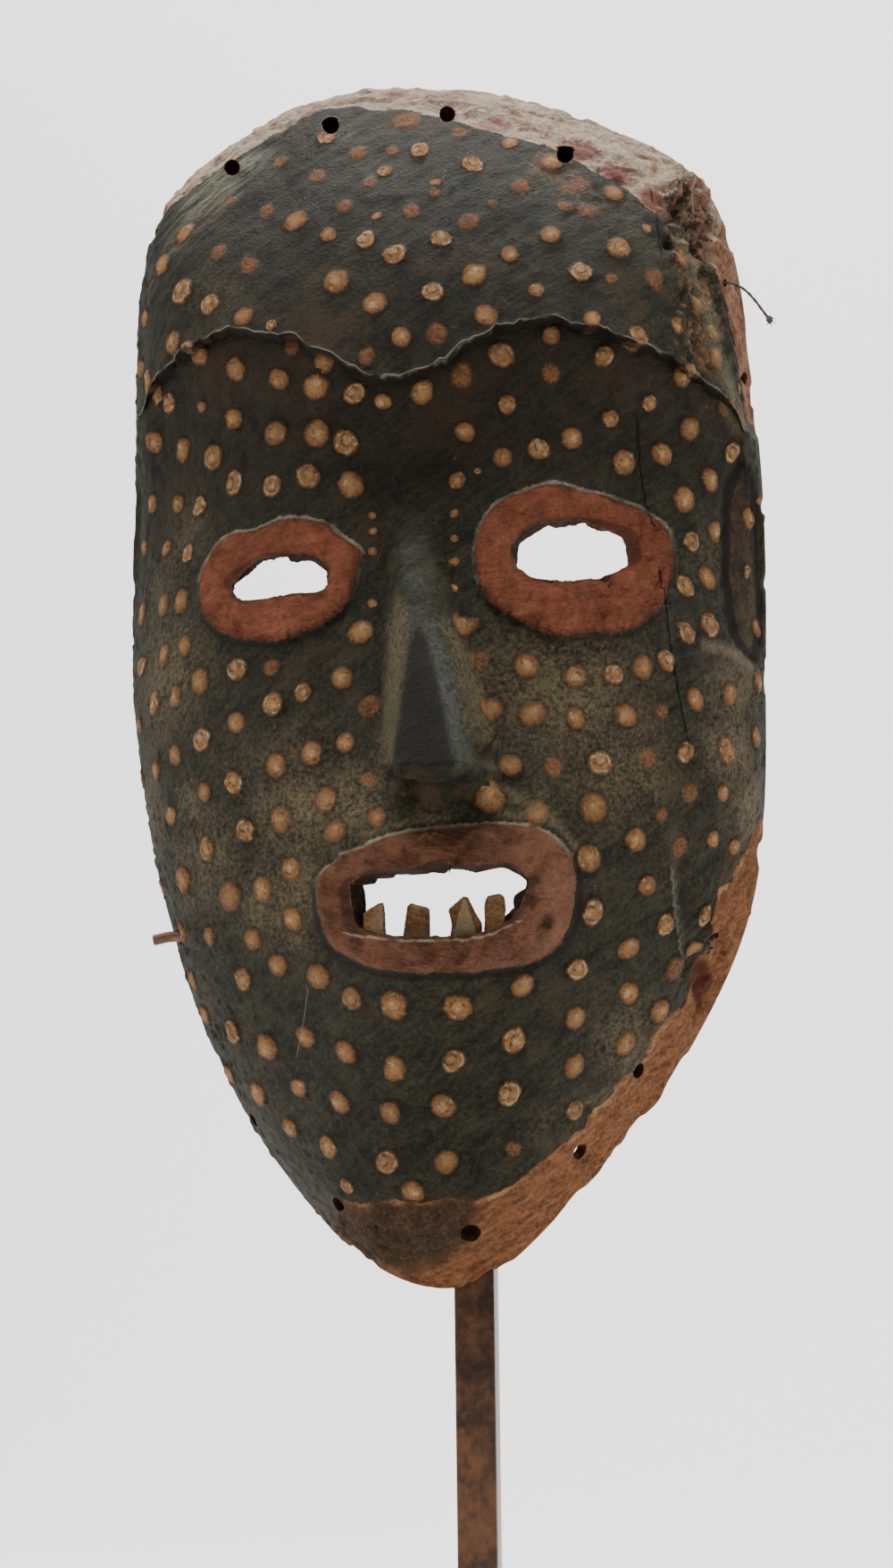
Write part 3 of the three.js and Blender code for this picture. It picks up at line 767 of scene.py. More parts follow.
def frontForward(x, z, forward, turn, reach):
    return forward + rimHold(reach) * plainForms(x, z, turn, reach) + noseForm(x, z)


def backForward(x, z, forward, reach):
    share, fullAt = maskForm["innerFollow"]
    return forward + share * smoothStep(0, fullAt, 1 - reach) * lowForms(x, z)


# How far up the square the face reaches a height, for each column
def shareAt(a, height):
    low, high = -np.ones_like(a), np.ones_like(a)
    for _ in range(40):
        middle = (low + high) / 2
        x, z, *_ = domePlace(a, middle, 0, maskForm["domeDepth"])
        below = z < height(x)
        low, high = np.where(below, middle, low), np.where(below, high, middle)
    return low


# The rows' places up the square: even, but packed along the brow's edge and under the nose
def packedRows(a, b):
    columns, index = np.unique(np.round(a, 6), return_inverse=True)

    def reached(height):
        return shareAt(columns, height)[index]
    foot, crest = (reached(lambda x, o=over: browHeight(x) + o) for over in rows["browSpan"])
    below, above = rows["noseSpan"]
    under = reached(lambda _: nose["tipZ"] - nose["under"] - below)
    tip = reached(lambda _: nose["tipZ"] + above)
    count, browRows = maskForm["frontCells"][1], rows["brow"]
    place = (b + 1) / 2 * count
    lower = round((count - browRows) * rows["belowBrow"])
    share = place / lower
    extra = rows["nose"] / lower / 2 * (1 - smoothStep(*rows["noseFade"], np.abs(a)))
    low, high = (under + 1) / (foot + 1), (tip + 1) / (foot + 1)
    packed = low + (share - low + extra) * (high - low) / (high - low + 2 * extra)
    upper = 1 - (1 - share) * (1 - high) / (1 - high - extra)
    upper = np.where(share < high + extra, packed, upper)
    share = np.where(share < low - extra, share * low / (low - extra), upper)
    middle = mix(foot, crest, (place - lower) / browRows)
    top = mix(crest, 1, (place - lower - browRows) / (count - lower - browRows))
    top = np.where(place <= lower + browRows, middle, top)
    return np.where(place <= lower, mix(-1, foot, share), top)


def toRow(x, forward, z):
    c, s = math.cos(maskForm["lean"]), math.sin(maskForm["lean"])
    px, py, pz = maskForm["place"]
    return np.stack([px + x * c - z * s, py - forward, pz + x * s + z * c], axis=-1)


def toMask(points):
    c, s = math.cos(maskForm["lean"]), math.sin(maskForm["lean"])
    dx, dy, dz = (points - np.array(maskForm["place"])).T
    return dx * c + dz * s, -dy, -dx * s + dz * c


def addField(obj, name, values):
    layer = obj.data.attributes.get(name) or obj.data.attributes.new(name, "FLOAT", "POINT")
    layer.data.foreach_set("value", np.ascontiguousarray(values, np.float32))


# A share of an attribute for every face of a piece, the same all over
def markFaces(obj, name, share):
    layer = obj.data.attributes.new(name, "FLOAT", "FACE")
    layer.data.foreach_set("value", np.full(len(obj.data.polygons), share, np.float32))


# A grid, and its points across and up a square from -1 to 1
def makeGrid(name, cells):
    grid = addShape(name, bpy.ops.mesh.primitive_grid_add,
                    x_subdivisions=cells[0], y_subdivisions=cells[1], size=2)
    ends = np.clip(readPoints(grid), -1, 1)
    return grid, ends[:, 0], ends[:, 1]


def readNormals(obj):
    obj.data.update()
    values = np.empty(len(obj.data.vertices) * 3)
    obj.data.vertices.foreach_get("normal", values)
    return values.reshape(-1, 3)


# Dots, where they are found in the picture: spot across and down, and size, in picture units
dots = {
    "unit": 1 / 4.4, "raise": 0.95, "fadedRaise": 0.2, "craterDeep": 0.45,    # mm to a unit; mm
    "forehead": [
        (366, 156, 24), (529, 185, 28), (617, 183, 30), (331, 248, 30), (422, 243, 13),
        (724, 256, 14), (687, 217, 26), (207, 261, 28), (571, 160, 22), (470, 169, 27),
        (431, 192, 20), (487, 205, 15), (368, 263, 20), (410, 269, 24), (442, 285, 28),
        (494, 268, 25), (571, 285, 22), (616, 264, 26), (693, 278, 30), (763, 288, 28),
        (377, 315, 32), (419, 339, 28), (485, 327, 26), (531, 308, 30), (601, 325, 20),
        (650, 305, 27), (183, 297, 30), (205, 327, 35), (235, 341, 27), (273, 355, 26),
        (305, 365, 15), (163, 356, 27), (195, 384, 30), (449, 377, 24), (544, 353, 28),
        (663, 357, 22), (715, 376, 26), (759, 364, 22), (803, 400, 26), (828, 435, 14),
        (782, 340, 26), (800, 372, 20),
    ],
    "underBrow": [
        (159, 413, 22), (169, 435, 25), (224, 396, 29), (265, 413, 29), (365, 400, 27),
        (312, 424, 26), (353, 433, 32), (397, 440, 26), (473, 439, 28), (561, 397, 30),
        (617, 375, 22), (676, 399, 25), (764, 421, 26), (190, 451, 25), (226, 455, 15),
        (262, 469, 26), (568, 453, 22), (683, 469, 22), (727, 451, 20), (772, 480, 28),
        (429, 449, 20),
    ],
    "eyeLevel": [
        (173, 495, 28), (205, 504, 28), (239, 512, 32), (308, 485, 30), (355, 485, 32),
        (387, 495, 30), (521, 483, 24), (563, 512, 24), (603, 503, 26), (640, 491, 26),
        (699, 517, 30), (741, 508, 28), (819, 507, 26), (263, 541, 29), (305, 544, 27),
        (345, 533, 30), (393, 543, 32), (512, 538, 22), (535, 527, 9), (795, 537, 30),
        (171, 564, 25), (199, 564, 22), (223, 567, 24), (765, 559, 32), (839, 580, 26),
        (850, 561, 12), (163, 613, 20), (187, 613, 21), (211, 619, 24), (773, 607, 26),
        (800, 595, 26), (839, 640, 16), (792, 647, 28), (767, 657, 28), (203, 673, 30),
        (183, 677, 28), (159, 687, 28), (795, 700, 32), (768, 709, 28), (848, 703, 22),
    ],
    "noseSides": [
        (417, 577, 10), (418, 595, 11), (417, 617, 12), (417, 676, 12), (509, 575, 12),
        (509, 603, 10), (509, 629, 13), (509, 659, 11),
    ],
    "cheeks": [
        (404, 708, 30), (516, 700, 32), (207, 723, 26), (183, 733, 26), (159, 747, 24),
        (265, 749, 28), (383, 759, 26), (589, 745, 28), (644, 757, 26), (687, 755, 24),
        (719, 747, 28), (745, 740, 26), (849, 764, 26), (223, 763, 30), (339, 775, 22),
        (197, 780, 26), (173, 787, 28), (306, 788, 28), (547, 796, 28), (596, 799, 30),
        (645, 804, 24), (701, 801, 28), (778, 783, 28), (817, 777, 28), (265, 809, 26),
        (157, 812, 20), (227, 828, 30), (387, 831, 24), (349, 843, 28), (197, 845, 26),
        (847, 825, 26), (813, 840, 32), (767, 842, 26), (176, 862, 24), (160, 871, 22),
        (310, 857, 28), (263, 876, 28), (571, 857, 26), (672, 854, 30), (229, 887, 24),
        (365, 895, 28), (548, 895, 34), (601, 911, 30), (664, 904, 34), (809, 888, 22),
    ],
    "jaw": [
        (193, 913, 24), (315, 917, 30), (423, 916, 24), (275, 929, 28), (375, 931, 28),
        (711, 940, 28), (797, 939, 22), (823, 948, 20), (232, 950, 29), (327, 973, 27),
        (659, 961, 32), (205, 985, 32), (182, 993, 20), (258, 1003, 38), (295, 995, 30),
        (724, 991, 24), (328, 1029, 28), (663, 1021, 30), (745, 1035, 26), (788, 1025, 28),
        (202, 1044, 27), (235, 1048, 24), (284, 1051, 28), (703, 1061, 28), (780, 1064, 24),
        (312, 1080, 28), (647, 1085, 28),
    ],
    "chin": [
        (217, 1096, 25), (273, 1096, 28), (356, 1093, 32), (585, 1103, 28), (704, 1111, 28),
        (394, 1117, 28), (441, 1125, 35), (513, 1127, 33), (739, 1131, 30), (231, 1136, 26),
        (644, 1139, 28), (260, 1155, 32), (343, 1160, 28), (575, 1164, 30), (298, 1172, 34),
        (388, 1177, 29), (700, 1168, 30), (442, 1196, 30), (508, 1187, 28), (643, 1193, 30),
        (257, 1202, 26), (335, 1217, 26), (289, 1225, 32), (381, 1233, 30), (437, 1245, 28),
        (497, 1237, 30), (570, 1223, 30), (644, 1243, 26), (325, 1262, 28), (369, 1283, 30),
        (433, 1301, 30), (500, 1300, 29), (390, 1327, 21), (462, 1334, 28),
    ],
    "faded": [
        (182, 237, 22), (455, 135, 36), (515, 149, 22), (314, 181, 22), (401, 171, 26),
        (439, 168, 18), (355, 197, 24), (415, 205, 20), (487, 216, 15), (583, 209, 26),
        (691, 192, 24), (259, 224, 15), (298, 235, 22), (387, 233, 22), (461, 237, 22),
        (525, 248, 27), (552, 229, 14), (633, 231, 20), (655, 236, 20), (245, 283, 24),
        (279, 297, 26), (685, 311, 16), (733, 313, 30), (326, 377, 18), (489, 373, 26),
        (327, 389, 20), (410, 399, 22), (517, 420, 28), (617, 417, 24), (812, 457, 22),
        (303, 747, 22), (536, 740, 24), (414, 791, 28), (741, 796, 18), (724, 848, 24),
        (620, 858, 24), (414, 873, 22), (772, 888, 24), (741, 912, 18), (759, 948, 26),
        (756, 1085, 30), (575, 1286, 20),
    ],
}


# Which dot each point belongs to, -1 away from all of them
def ownDot(points, found):
    best, which = np.full(len(points), -2.4), np.full(len(points), -1)
    for number, (centre, radius) in enumerate(zip(found["centre"], found["radius"])):
        near = np.where(np.abs(points - centre).max(axis=1) < radius + 2.5)[0]
        depth = radius - np.linalg.norm(points[near] - centre, axis=1)
        taken = near[depth > best[near]]
        best[taken], which[taken] = depth[depth > best[near]], number
    return which


# The way across and up the dot that each point belongs to, in the dot's own radii, its tone from 0,
# faded, to 1, and a number of its own
def dotFields(points, which, found):
    dot = np.maximum(which, 0)
    offset = points - found["centre"][dot]
    return {
        "dotAcross": np.where(which < 0, 9.0, (offset * found["across"][dot]).sum(axis=1)),
        "dotUp": np.where(which < 0, 9.0, (offset * found["up"][dot]).sum(axis=1)),
        "dotTone": np.where(which < 0, 0.0, found["tone"][dot]),
        "dotOwn": np.where(which < 0, 0.0, found["own"][dot]),
    }


# The fields are kept at each face's corners, for the dot of that face, so that dots stay apart
def addDots(shell, points, found):
    mesh = shell.data
    starts, counts = np.empty(len(mesh.polygons), int), np.empty(len(mesh.polygons), int)
    corners = np.empty(len(mesh.loops), int)
    mesh.polygons.foreach_get("loop_start", starts)
    mesh.polygons.foreach_get("loop_total", counts)
    mesh.loops.foreach_get("vertex_index", corners)
    middles = np.add.reduceat(points[corners], starts) / counts[:, None]
    which = np.repeat(ownDot(middles, found), counts)
    for name, values in dotFields(points[corners], which, found).items():
        layer = mesh.attributes.new(name, "FLOAT", "CORNER")
        layer.data.foreach_set("value", np.ascontiguousarray(values, np.float32))


# Lines in the face as the picture shows them, the soft ones with a half width in mm and a strength
marks = {
    "reach": 3.0,                             # mm from a line to which its distance is kept
    "crack": [
        [(729, 215), (735, 240), (737, 262), (740, 284)],
        [(713, 470), (716, 520), (722, 562), (731, 587)],
        [(738, 640), (745, 672), (747, 700), (753, 742), (762, 790), (770, 826), (773, 852)],
        [(818, 712), (828, 724), (838, 732)],
    ],
    # rubbed paint; over the mouth ring's step and down the nose's sides it is also painted
    # highlight
    "worn": [
        ([(446, 650), (446, 700), (440, 770), (434, 850)], 3.0, 0.25),
        ([(492, 645), (517, 715), (534, 780), (552, 850)], 3.0, 0.35),
        ([(403, 936), (426, 928), (453, 921), (480, 917), (503, 914)], 1.0, 0.8),
        ([(560, 911), (594, 913), (616, 921), (634, 934), (645, 950)], 1.0, 0.9),
        ([(560, 880), (600, 905), (628, 925)], 2.0, 0.6),
        ([(790, 722), (815, 728), (842, 745)], 2.2, 0.8),
        ([(560, 700), (640, 716), (700, 705)], 1.8, 0.3),
        ([(600, 190), (640, 215), (700, 250), (745, 300)], 6.0, 0.35),
        ([(770, 270), (790, 340), (812, 420), (828, 470)], 4.5, 0.8),
        ([(640, 1245), (690, 1215), (720, 1165)], 2.5, 0.5),
        ([(820, 640), (826, 700)], 1.2, 0.45),
    ],
    "pale": [
        [(387, 1045), (421, 1050), (449, 1053), (480, 1053), (508, 1053), (540, 1049), (564, 1041),
         (580, 1031)],
    ],
    # painted shadow, sunk in shallow grooves: under the nose's base and beside its wing, under the
    # lower lip and beside the jaw ridge
    "gloom": [
        ([(436, 864), (446, 874), (470, 880), (500, 879), (520, 872)], 1.7, 0.95),
        ([(452, 884), (466, 886)], 1.5, 1.0),
        ([(538, 815), (541, 830)], 1.4, 0.9),
        ([(362, 1060), (387, 1077), (421, 1090), (471, 1095), (530, 1094), (585, 1087),
          (617, 1070)], 1.0, 0.5),
        ([(764, 1000), (770, 1060), (778, 1110)], 1.4, 0.5),
    ],
    "ridge": [[(752, 975), (756, 1020), (762, 1060), (769, 1090), (770, 1118)]],
    "hairline": [[(344, 1108), (342, 1130), (338, 1160), (332, 1180)]],
}

sharpLines = ("crack", "ridge", "hairline", "pale")
softLines = ("worn", "gloom")

# Broad tints: spot across and down in the picture, size in mm, strength
tints = {
    "dust": [
        (185, 760, 20, 0.7), (230, 960, 20, 0.6), (300, 1010, 14, 0.65), (560, 720, 12, 0.35),
        (640, 770, 24, 0.7), (690, 860, 20, 0.6), (330, 900, 20, 0.65), (820, 840, 14, 0.8),
        (800, 620, 12, 0.5), (815, 780, 12, 0.7), (700, 1160, 14, 0.6), (600, 905, 10, 0.5),
        (370, 930, 10, 0.6), (210, 590, 12, 0.6), (470, 1130, 20, 0.2), (270, 860, 14, 0.4),
        (170, 900, 16, 0.6), (760, 960, 14, 0.35), (620, 1250, 14, 0.3), (300, 1250, 14, 0.2),
        (440, 700, 7, 0.5), (540, 760, 8, 0.5), (480, 915, 8, 0.5), (345, 905, 13, 0.8),
        (395, 900, 12, 0.75), (840, 900, 12, 0.8), (835, 760, 12, 0.6), (180, 660, 14, 0.5),
        (335, 990, 10, 0.9), (328, 1040, 9, 0.6), (215, 905, 12, 0.6), (240, 320, 14, 0.35),
        (460, 560, 10, 0.3),
    ],
    "smear": [
        (610, 185, 9, 0.8), (640, 205, 9, 0.9), (660, 235, 7, 0.7), (585, 215, 7, 0.6),
        (430, 190, 7, 0.6), (470, 140, 8, 0.7), (640, 360, 7, 0.6), (520, 460, 8, 0.5),
        (410, 395, 6, 0.6), (250, 190, 6, 0.4), (790, 400, 8, 0.8), (800, 500, 7, 0.6),
        (545, 700, 6, 0.5), (700, 225, 7, 0.6), (600, 270, 6, 0.4), (350, 455, 6, 0.4),
        (540, 900, 7, 0.6), (340, 890, 8, 0.4), (255, 300, 6, 0.4), (745, 560, 6, 0.5),
    ],
    "grey": [
        (235, 215, 14, 0.8), (280, 185, 10, 0.7), (200, 265, 12, 0.5), (420, 195, 9, 0.3),
        (390, 150, 14, 0.35), (300, 150, 8, 0.6), (500, 160, 12, 0.25), (620, 190, 14, 0.3),
        (170, 320, 10, 0.4), (700, 240, 10, 0.25),
    ],
    # painted sheen along the nose's ridge
    "blue": [
        (462, 615, 4, 0.35), (466, 650, 4, 0.5), (470, 690, 4, 0.5), (487, 735, 3.6, 0.6),
        (502, 780, 3.6, 0.6), (516, 825, 3.6, 0.6),
    ],
    # darker paint; under the brow, at the root of the nose and on its front it is painted shade
    "dark": [
        (500, 380, 18, 0.7), (320, 330, 16, 0.35), (600, 330, 14, 0.3), (466, 770, 4, 0.6),
        (470, 810, 5, 0.7), (476, 845, 5.5, 0.7), (560, 1200, 18, 0.3), (400, 1320, 16, 0.4),
        (470, 540, 16, 0.4), (400, 420, 14, 0.3),
    ],
    "pink": [
        (606, 950, 6, 0.7), (625, 985, 8, 0.9), (622, 1025, 8, 0.8), (600, 1058, 6, 0.6),
        (560, 1070, 6, 0.3),
    ],
    "stain": [
        (614, 1033, 2.6, 1.0), (632, 950, 2.2, 1.0), (534, 942, 4.5, 0.4), (474, 1074, 3, 0.5),
        (384, 962, 3, 0.6), (600, 984, 2.6, 0.7), (396, 1072, 3, 0.6), (604, 1050, 2, 0.7),
        (484, 958, 4, 0.35), (560, 962, 3, 0.4), (372, 1008, 3, 0.4),
    ],
    "maroon": [
        (445, 103, 4, 0.8), (480, 108, 4, 0.7), (520, 122, 4, 0.5), (560, 132, 5, 0.7),
        (610, 148, 5, 0.6), (650, 168, 6, 0.9), (690, 192, 6, 0.9), (735, 222, 6, 0.9),
        (762, 250, 5, 0.7), (300, 140, 4, 0.4), (205, 205, 4, 0.6), (240, 178, 4, 0.4),
    ],
    # browner paint; under the brow, under the nose and on the sunk parts at the right it is painted
    # shade
    "brown": [
        (350, 420, 16, 0.6), (500, 420, 20, 0.5), (700, 430, 18, 0.6), (460, 500, 18, 0.5),
        (420, 600, 10, 0.6), (470, 885, 9, 0.9), (810, 450, 12, 0.7), (240, 430, 12, 0.4),
        (560, 330, 14, 0.3), (640, 480, 14, 0.4), (825, 600, 8, 0.6), (812, 1000, 8, 0.8),
        (800, 1060, 8, 0.9), (790, 1100, 6, 0.9),
    ],
}


def distanceToLine(points, line):
    best, signed = np.full(len(points), 99.0), np.full(len(points), 99.0)
    for start, end in zip(line[:-1], line[1:]):
        way = end - start
        share = np.clip((points - start) @ way / (way @ way), 0, 1)
        offset = points - (start + share[:, None] * way)
        far = np.linalg.norm(offset, axis=1)
        side = np.sign(offset[:, 0] * way[2] - offset[:, 2] * way[0])
        closer = far < best
        best, signed = np.where(closer, far, best), np.where(closer, far * side, signed)
    return best, signed


# Where the paint ends: over the top and round the bare jaw in the picture, elsewhere past the rim,
# in mm
paint = {
    "topEdge": [
        (178, 245), (198, 224), (220, 205), (240, 192), (262, 178), (282, 165), (300, 155),
        (322, 143), (340, 131), (362, 122), (392, 118), (420, 122), (450, 121), (480, 127),
        (510, 135), (530, 143), (560, 149), (585, 156), (610, 163), (640, 176), (662, 190),
        (685, 200), (704, 213), (722, 230), (742, 243), (765, 256), (783, 282), (800, 300),
        (808, 320), (815, 345), (820, 372), (825, 400), (830, 430), (836, 470),
    ],
    "jawEdge": [
        (852, 915), (846, 930), (836, 948), (824, 968), (820, 985), (804, 996), (799, 1018),
        (798, 1045), (790, 1066), (778, 1072), (770, 1100), (768, 1122), (756, 1132), (746, 1142),
        (730, 1158), (724, 1178), (706, 1200), (692, 1212), (680, 1230), (664, 1240), (655, 1262),
        (640, 1274), (620, 1290), (600, 1305), (582, 1320), (556, 1334), (530, 1343), (500, 1340),
        (470, 1346), (440, 1343), (410, 1347), (385, 1344),
    ],
    "past": {
        "left": [(-39, -134), (-44, -155), (-95, -130), (-95, 95)],
        "right": [(95, 76), (95, -46)],
    },
}

# Patches with an outline of their own: the sunk slot at the right side, the worn wood at the chin,
# and on the nose the front in painted shade, the lit facet in painted sheen, the dusty slopes
# painted lit
patches = {
    "slot": [
        (826, 512), (814, 535), (808, 560), (806, 600), (806, 640), (811, 680), (817, 708),
        (828, 724), (840, 738), (850, 745), (856, 700), (854, 640), (852, 600), (848, 560),
        (842, 520),
    ],
    "chinWorn": [
        (352, 1338), (372, 1345), (410, 1347), (440, 1343), (470, 1346), (500, 1340), (530, 1343),
        (538, 1362), (528, 1385), (512, 1402), (480, 1418), (450, 1424), (425, 1418), (400, 1402),
        (378, 1384), (360, 1362),
    ],
    "noseFace": [
        (470, 700), (459, 720), (453, 760), (448, 800), (443, 848), (458, 860), (480, 862),
        (506, 858), (503, 830), (495, 790), (486, 750), (478, 720),
    ],
    "noseFacet": [
        (471, 700), (484, 690), (496, 720), (506, 755), (517, 800), (531, 850), (510, 858),
        (503, 830), (494, 790), (484, 745),
    ],
    "noseLeft": [
        (446, 670), (456, 690), (455, 720), (449, 770), (443, 820), (438, 856), (428, 862),
        (424, 840), (430, 780), (437, 720),
    ],
    "noseRight": [
        (492, 690), (504, 720), (514, 760), (526, 810), (536, 852), (552, 864), (556, 840),
        (545, 790), (530, 740), (512, 700),
    ],
}

# Carved and worn relief that stands on the front, along its normals: height and size of each kind
# in mm, with the size of the patches it comes in
relief = {
    "grain": {"high": 0.14, "size": 2.4}, "hewn": {"high": 0.45, "size": 15},
    "crust": {"high": 0.17, "size": 1.2, "patch": 9}, "strokes": {"high": 0.16, "size": 1.9},
    "creases": {"high": 0.5, "size": 2.4}, "ringPits": {"high": 0.7, "size": 2.2},
    "grooves": {"high": 0.6, "size": 5.5, "patch": 9},
    "pits": {"high": 0.6, "size": 2.4, "patch": 26},
    "crumbs": {"high": 0.35, "size": 2.0}, "bareRough": {"high": 0.6, "size": 4.5},
    "layers": {"high": 0.8, "size": 3.2}, "paintThick": 0.45, "browLip": 0.28, "ridge": 0.6,
    "slotDeep": 3.2, "slotEnd": (70.5, 77.5), "shadowGrooveDeep": 0.8, "chinWorn": 0.4, "crackDeep": 0.5,
    "knots": {
        "knot": {"x": 68, "z": 116, "wide": 6.5, "high": 12, "rough": 3.2},
        "sideCrust": {"x": 69, "z": 90, "wide": 7, "high": 26, "rough": 1.3},
        "jawCrust": {"x": 60, "z": -70, "wide": 8, "high": 16, "rough": 1.1},
    },
    "knotTop": {"x": 66, "z": 127, "wide": 5, "high": 5, "rough": 3.0},
    "holes": {
        "wingPit": {"x": 12.2, "z": -25, "wide": 2.4, "high": 4.2, "deep": 2.8},
        "nostril": {"x": -6.3, "z": -34.2, "wide": 2.0, "high": 1.3, "deep": 3.0},
        "maroonNotch": {"x": 56.5, "z": -80, "wide": 2.8, "high": 7, "deep": 2.6},
    },
}


def reliefSizes(*names):
    return [(relief[name]["high"], relief[name]["size"]) for name in names]


# Hewn and brushed wood under its paint
def plainRelief(points, x, z, plain):
    (grain, grainSize), (hewn, hewnSize), (crust, crustSize), (strokes, strokeSize) = reliefSizes(
        "grain", "hewn", "crust", "strokes")
    yield grain * roughLumps(points, grainSize, 2, 1)
    yield hewn * lumps(points, hewnSize, 3)
    crusted = 0.5 + patchy(points, relief["crust"]["patch"], 31, -0.3, 0.5)
    yield crust * lumps(points, crustSize, 30) * crusted
    rising = np.stack([(x * 0.8 + z * 0.6) * 0.22, points[:, 1] * 0.6, z * 0.8 - x * 0.6], -1)
    yield strokes * roughLumps(rising, strokeSize, 2, 2) * plain * (0.5 + smoothStep(20, 90, z))


# Creased and pitted earth of the rings
def ringRelief(points, ringShare):
    (creases, creaseSize), (pits, pitSize), (grooves, grooveSize) = reliefSizes(
        "creases", "ringPits", "grooves")
    yield creases * roughLumps(points * (0.4, 1, 1.4), creaseSize, 3, 12) * ringShare
    yield -(pits * patchy(points, pitSize, 39, 0.25, 0.6) * ringShare)
    groove = np.abs(roughLumps(points * (0.5, 1, 1.1), grooveSize, 2, 40))
    groove = grooves * (1 - smoothStep(0.02, 0.22, groove))
    yield -(groove * patchy(points, relief["grooves"]["patch"], 42, -0.2, 0.3) * ringShare)


# Pits in patches, crumbs of paint, and bare wood that is lower, rough, and split at the top
def wornRelief(points, z, plain, bare):
    (pits, pitSize), (crumbs, crumbSize), (rough, roughSize), (layers, layerSize) = reliefSizes(
        "pits", "crumbs", "bareRough", "layers")
    pitted = patchy(points, pitSize, 13, 0.42, 0.75)
    yield -(pits * (pitted * patchy(points, relief["pits"]["patch"], 14, -0.1, 0.5)))
    yield crumbs * patchy(points, crumbSize, 15, 0.45, 0.8) * plain
    yield -(relief["paintThick"] * bare)
    chiselled = np.abs(roughLumps(points * (0.6, 0.8, 1), roughSize, 2, 4)) * 2 - 0.8
    yield rough * bare * (chiselled + 0.5 * lumps(points, 1.6, 6))
    flakes = smoothStep(0.1, 0.35, roughLumps(points * (0.24, 0.8, 1), layerSize, 3, 16))
    yield -(layers * smoothStep(95, 120, z) * bare * flakes)


# The knot and crusts at the right, the pits, the sunk slot and the worn chin
def placedRelief(points, x, z, field):
    jagged = roughLumps(points, 4.0, 2, 5) - 0.1 - 0.9 * patchy(points, 3.2, 35, 0.15, 0.4)
    for spot in relief["knots"].values():
        yield spot["rough"] * spotShare(x, z, spot) * jagged
    top = relief["knotTop"]
    yield top["rough"] * spotShare(x, z, top) * (1 + lumps(points, 2.5, 36))
    for spot in relief["holes"].values():
        yield -(spot["deep"] * spotShare(x, z, spot))
    sunk = smoothStep(-0.3, 0.9, field["slot"] + 0.3 * lumps(points, 3, 17))
    sunk = sunk * mix(1, 0.12, smoothStep(*relief["slotEnd"], x))      # it runs out at the rim
    yield -(relief["slotDeep"] * sunk * (1 + 0.15 * lumps(points, 4, 37)))
    for share in softShares(points, field["lines"], "gloom"):
        yield -(relief["shadowGrooveDeep"] * share)
    worn = relief["chinWorn"] * smoothStep(-2, 4, field["chinWorn"])
    yield -(worn * (0.6 + lumps(points, 3, 38)))


# The brow's ragged lip, the ridge at the jaw and the cracks
def lineRelief(points, x, z, reach, lines):
    over = z - browHeight(x)
    lip = smoothStep(-0.3, 0.1, over) * (1 - smoothStep(0.2, 1.0, over)) * rimHold(reach)
    yield relief["browLip"] * lip * (1 + 0.9 * lumps(points, 4, 18)) * browEnds(x)
    ridge, _ = distanceToLine(points, lines["ridge"][0])
    yield relief["ridge"] * np.exp(-(ridge / 1.0) ** 2)
    for line in lines["crack"]:
        near, _ = distanceToLine(points, line)
        near = near + 0.2 * lumps(points, 3, 19)
        yield -(relief["crackDeep"] * (1 - smoothStep(0.1, 0.7, near)))


# Dabs of paint: domes of their own heights, some with a crater where a bubble broke
def dotRelief(points, field, painted):
    across, up, own = field["dotAcross"], field["dotUp"], field["dotOwn"]
    dome = np.sqrt(np.clip(1 - (np.hypot(across, up) + 0.2 * lumps(points, 2.2, 20)) ** 2, 0, 1))
    pit = np.exp(-((across - 0.1) ** 2 + (up + 0.1) ** 2) / 0.1)
    craters = smoothStep(0.45, 0.65, own) * (1 - smoothStep(0.88, 0.95, own))
    raised = dots["raise"] * (0.6 + 0.6 * own) * dome * (1 + 0.5 * lumps(points, 1.5, 21))
    raised = raised - dots["craterDeep"] * pit * craters
    yield mix(dots["fadedRaise"] * dome, raised, field["dotTone"]) * painted


def frontRelief(points, x, z, reach, field, rings):
    painted = smoothStep(-0.35, 0.5, field["paintEdge"] + 0.5 * lumps(points, 2.5, 9))
    ringShare = np.max([smoothStep(0, 1, made["ring"]) for made in rings.values()], axis=0)
    plain = painted * (1 - ringShare)
    return sum(itertools.chain(
        plainRelief(points, x, z, plain), ringRelief(points, ringShare),
        wornRelief(points, z, plain, 1 - painted), placedRelief(points, x, z, field),
        lineRelief(points, x, z, reach, field["lines"]), dotRelief(points, field, painted)))


# For each soft line of a kind, its share at the points
def softShares(points, lines, kind):
    for line, (_, halfWidth, strength) in zip(lines[kind], marks[kind]):
        near, _ = distanceToLine(points, line)
        yield strength * np.exp(-(near / halfWidth) ** 2)


def ringFields(x, z, made):
    return {name: {kind: insideOutline(x, z, made[kind + "s"][name]) for kind in ("ring", "hole")}
            for name in made["rings"]}


# Everything that is read in the picture, laid on the face
def layPicture():
    made = {"rings": {}, "holes": {}}
    places = onFace(faceTree(brow["proud"], mounds), brow["line"])
    brow["places"] = places[np.argsort(places[:, 0])]
    for name in ("leftEye", "rightEye", "mouth"):
        tree = faceTree(mouthRing["proud"] if name == "mouth" else eyeRing["proud"], plainForms)
        made["rings"][name] = onFace(tree, outlines[name])
        made["holes"][name] = onFace(tree, outlines[name + "Hole"])
    plain = faceTree(0, plainForms)
    top, jaw = onFace(plain, paint["topEdge"]), onFace(plain, paint["jawEdge"])
    past = paint["past"]
    made["paint"] = np.concatenate([top, past["right"], jaw, past["left"]])
    return made


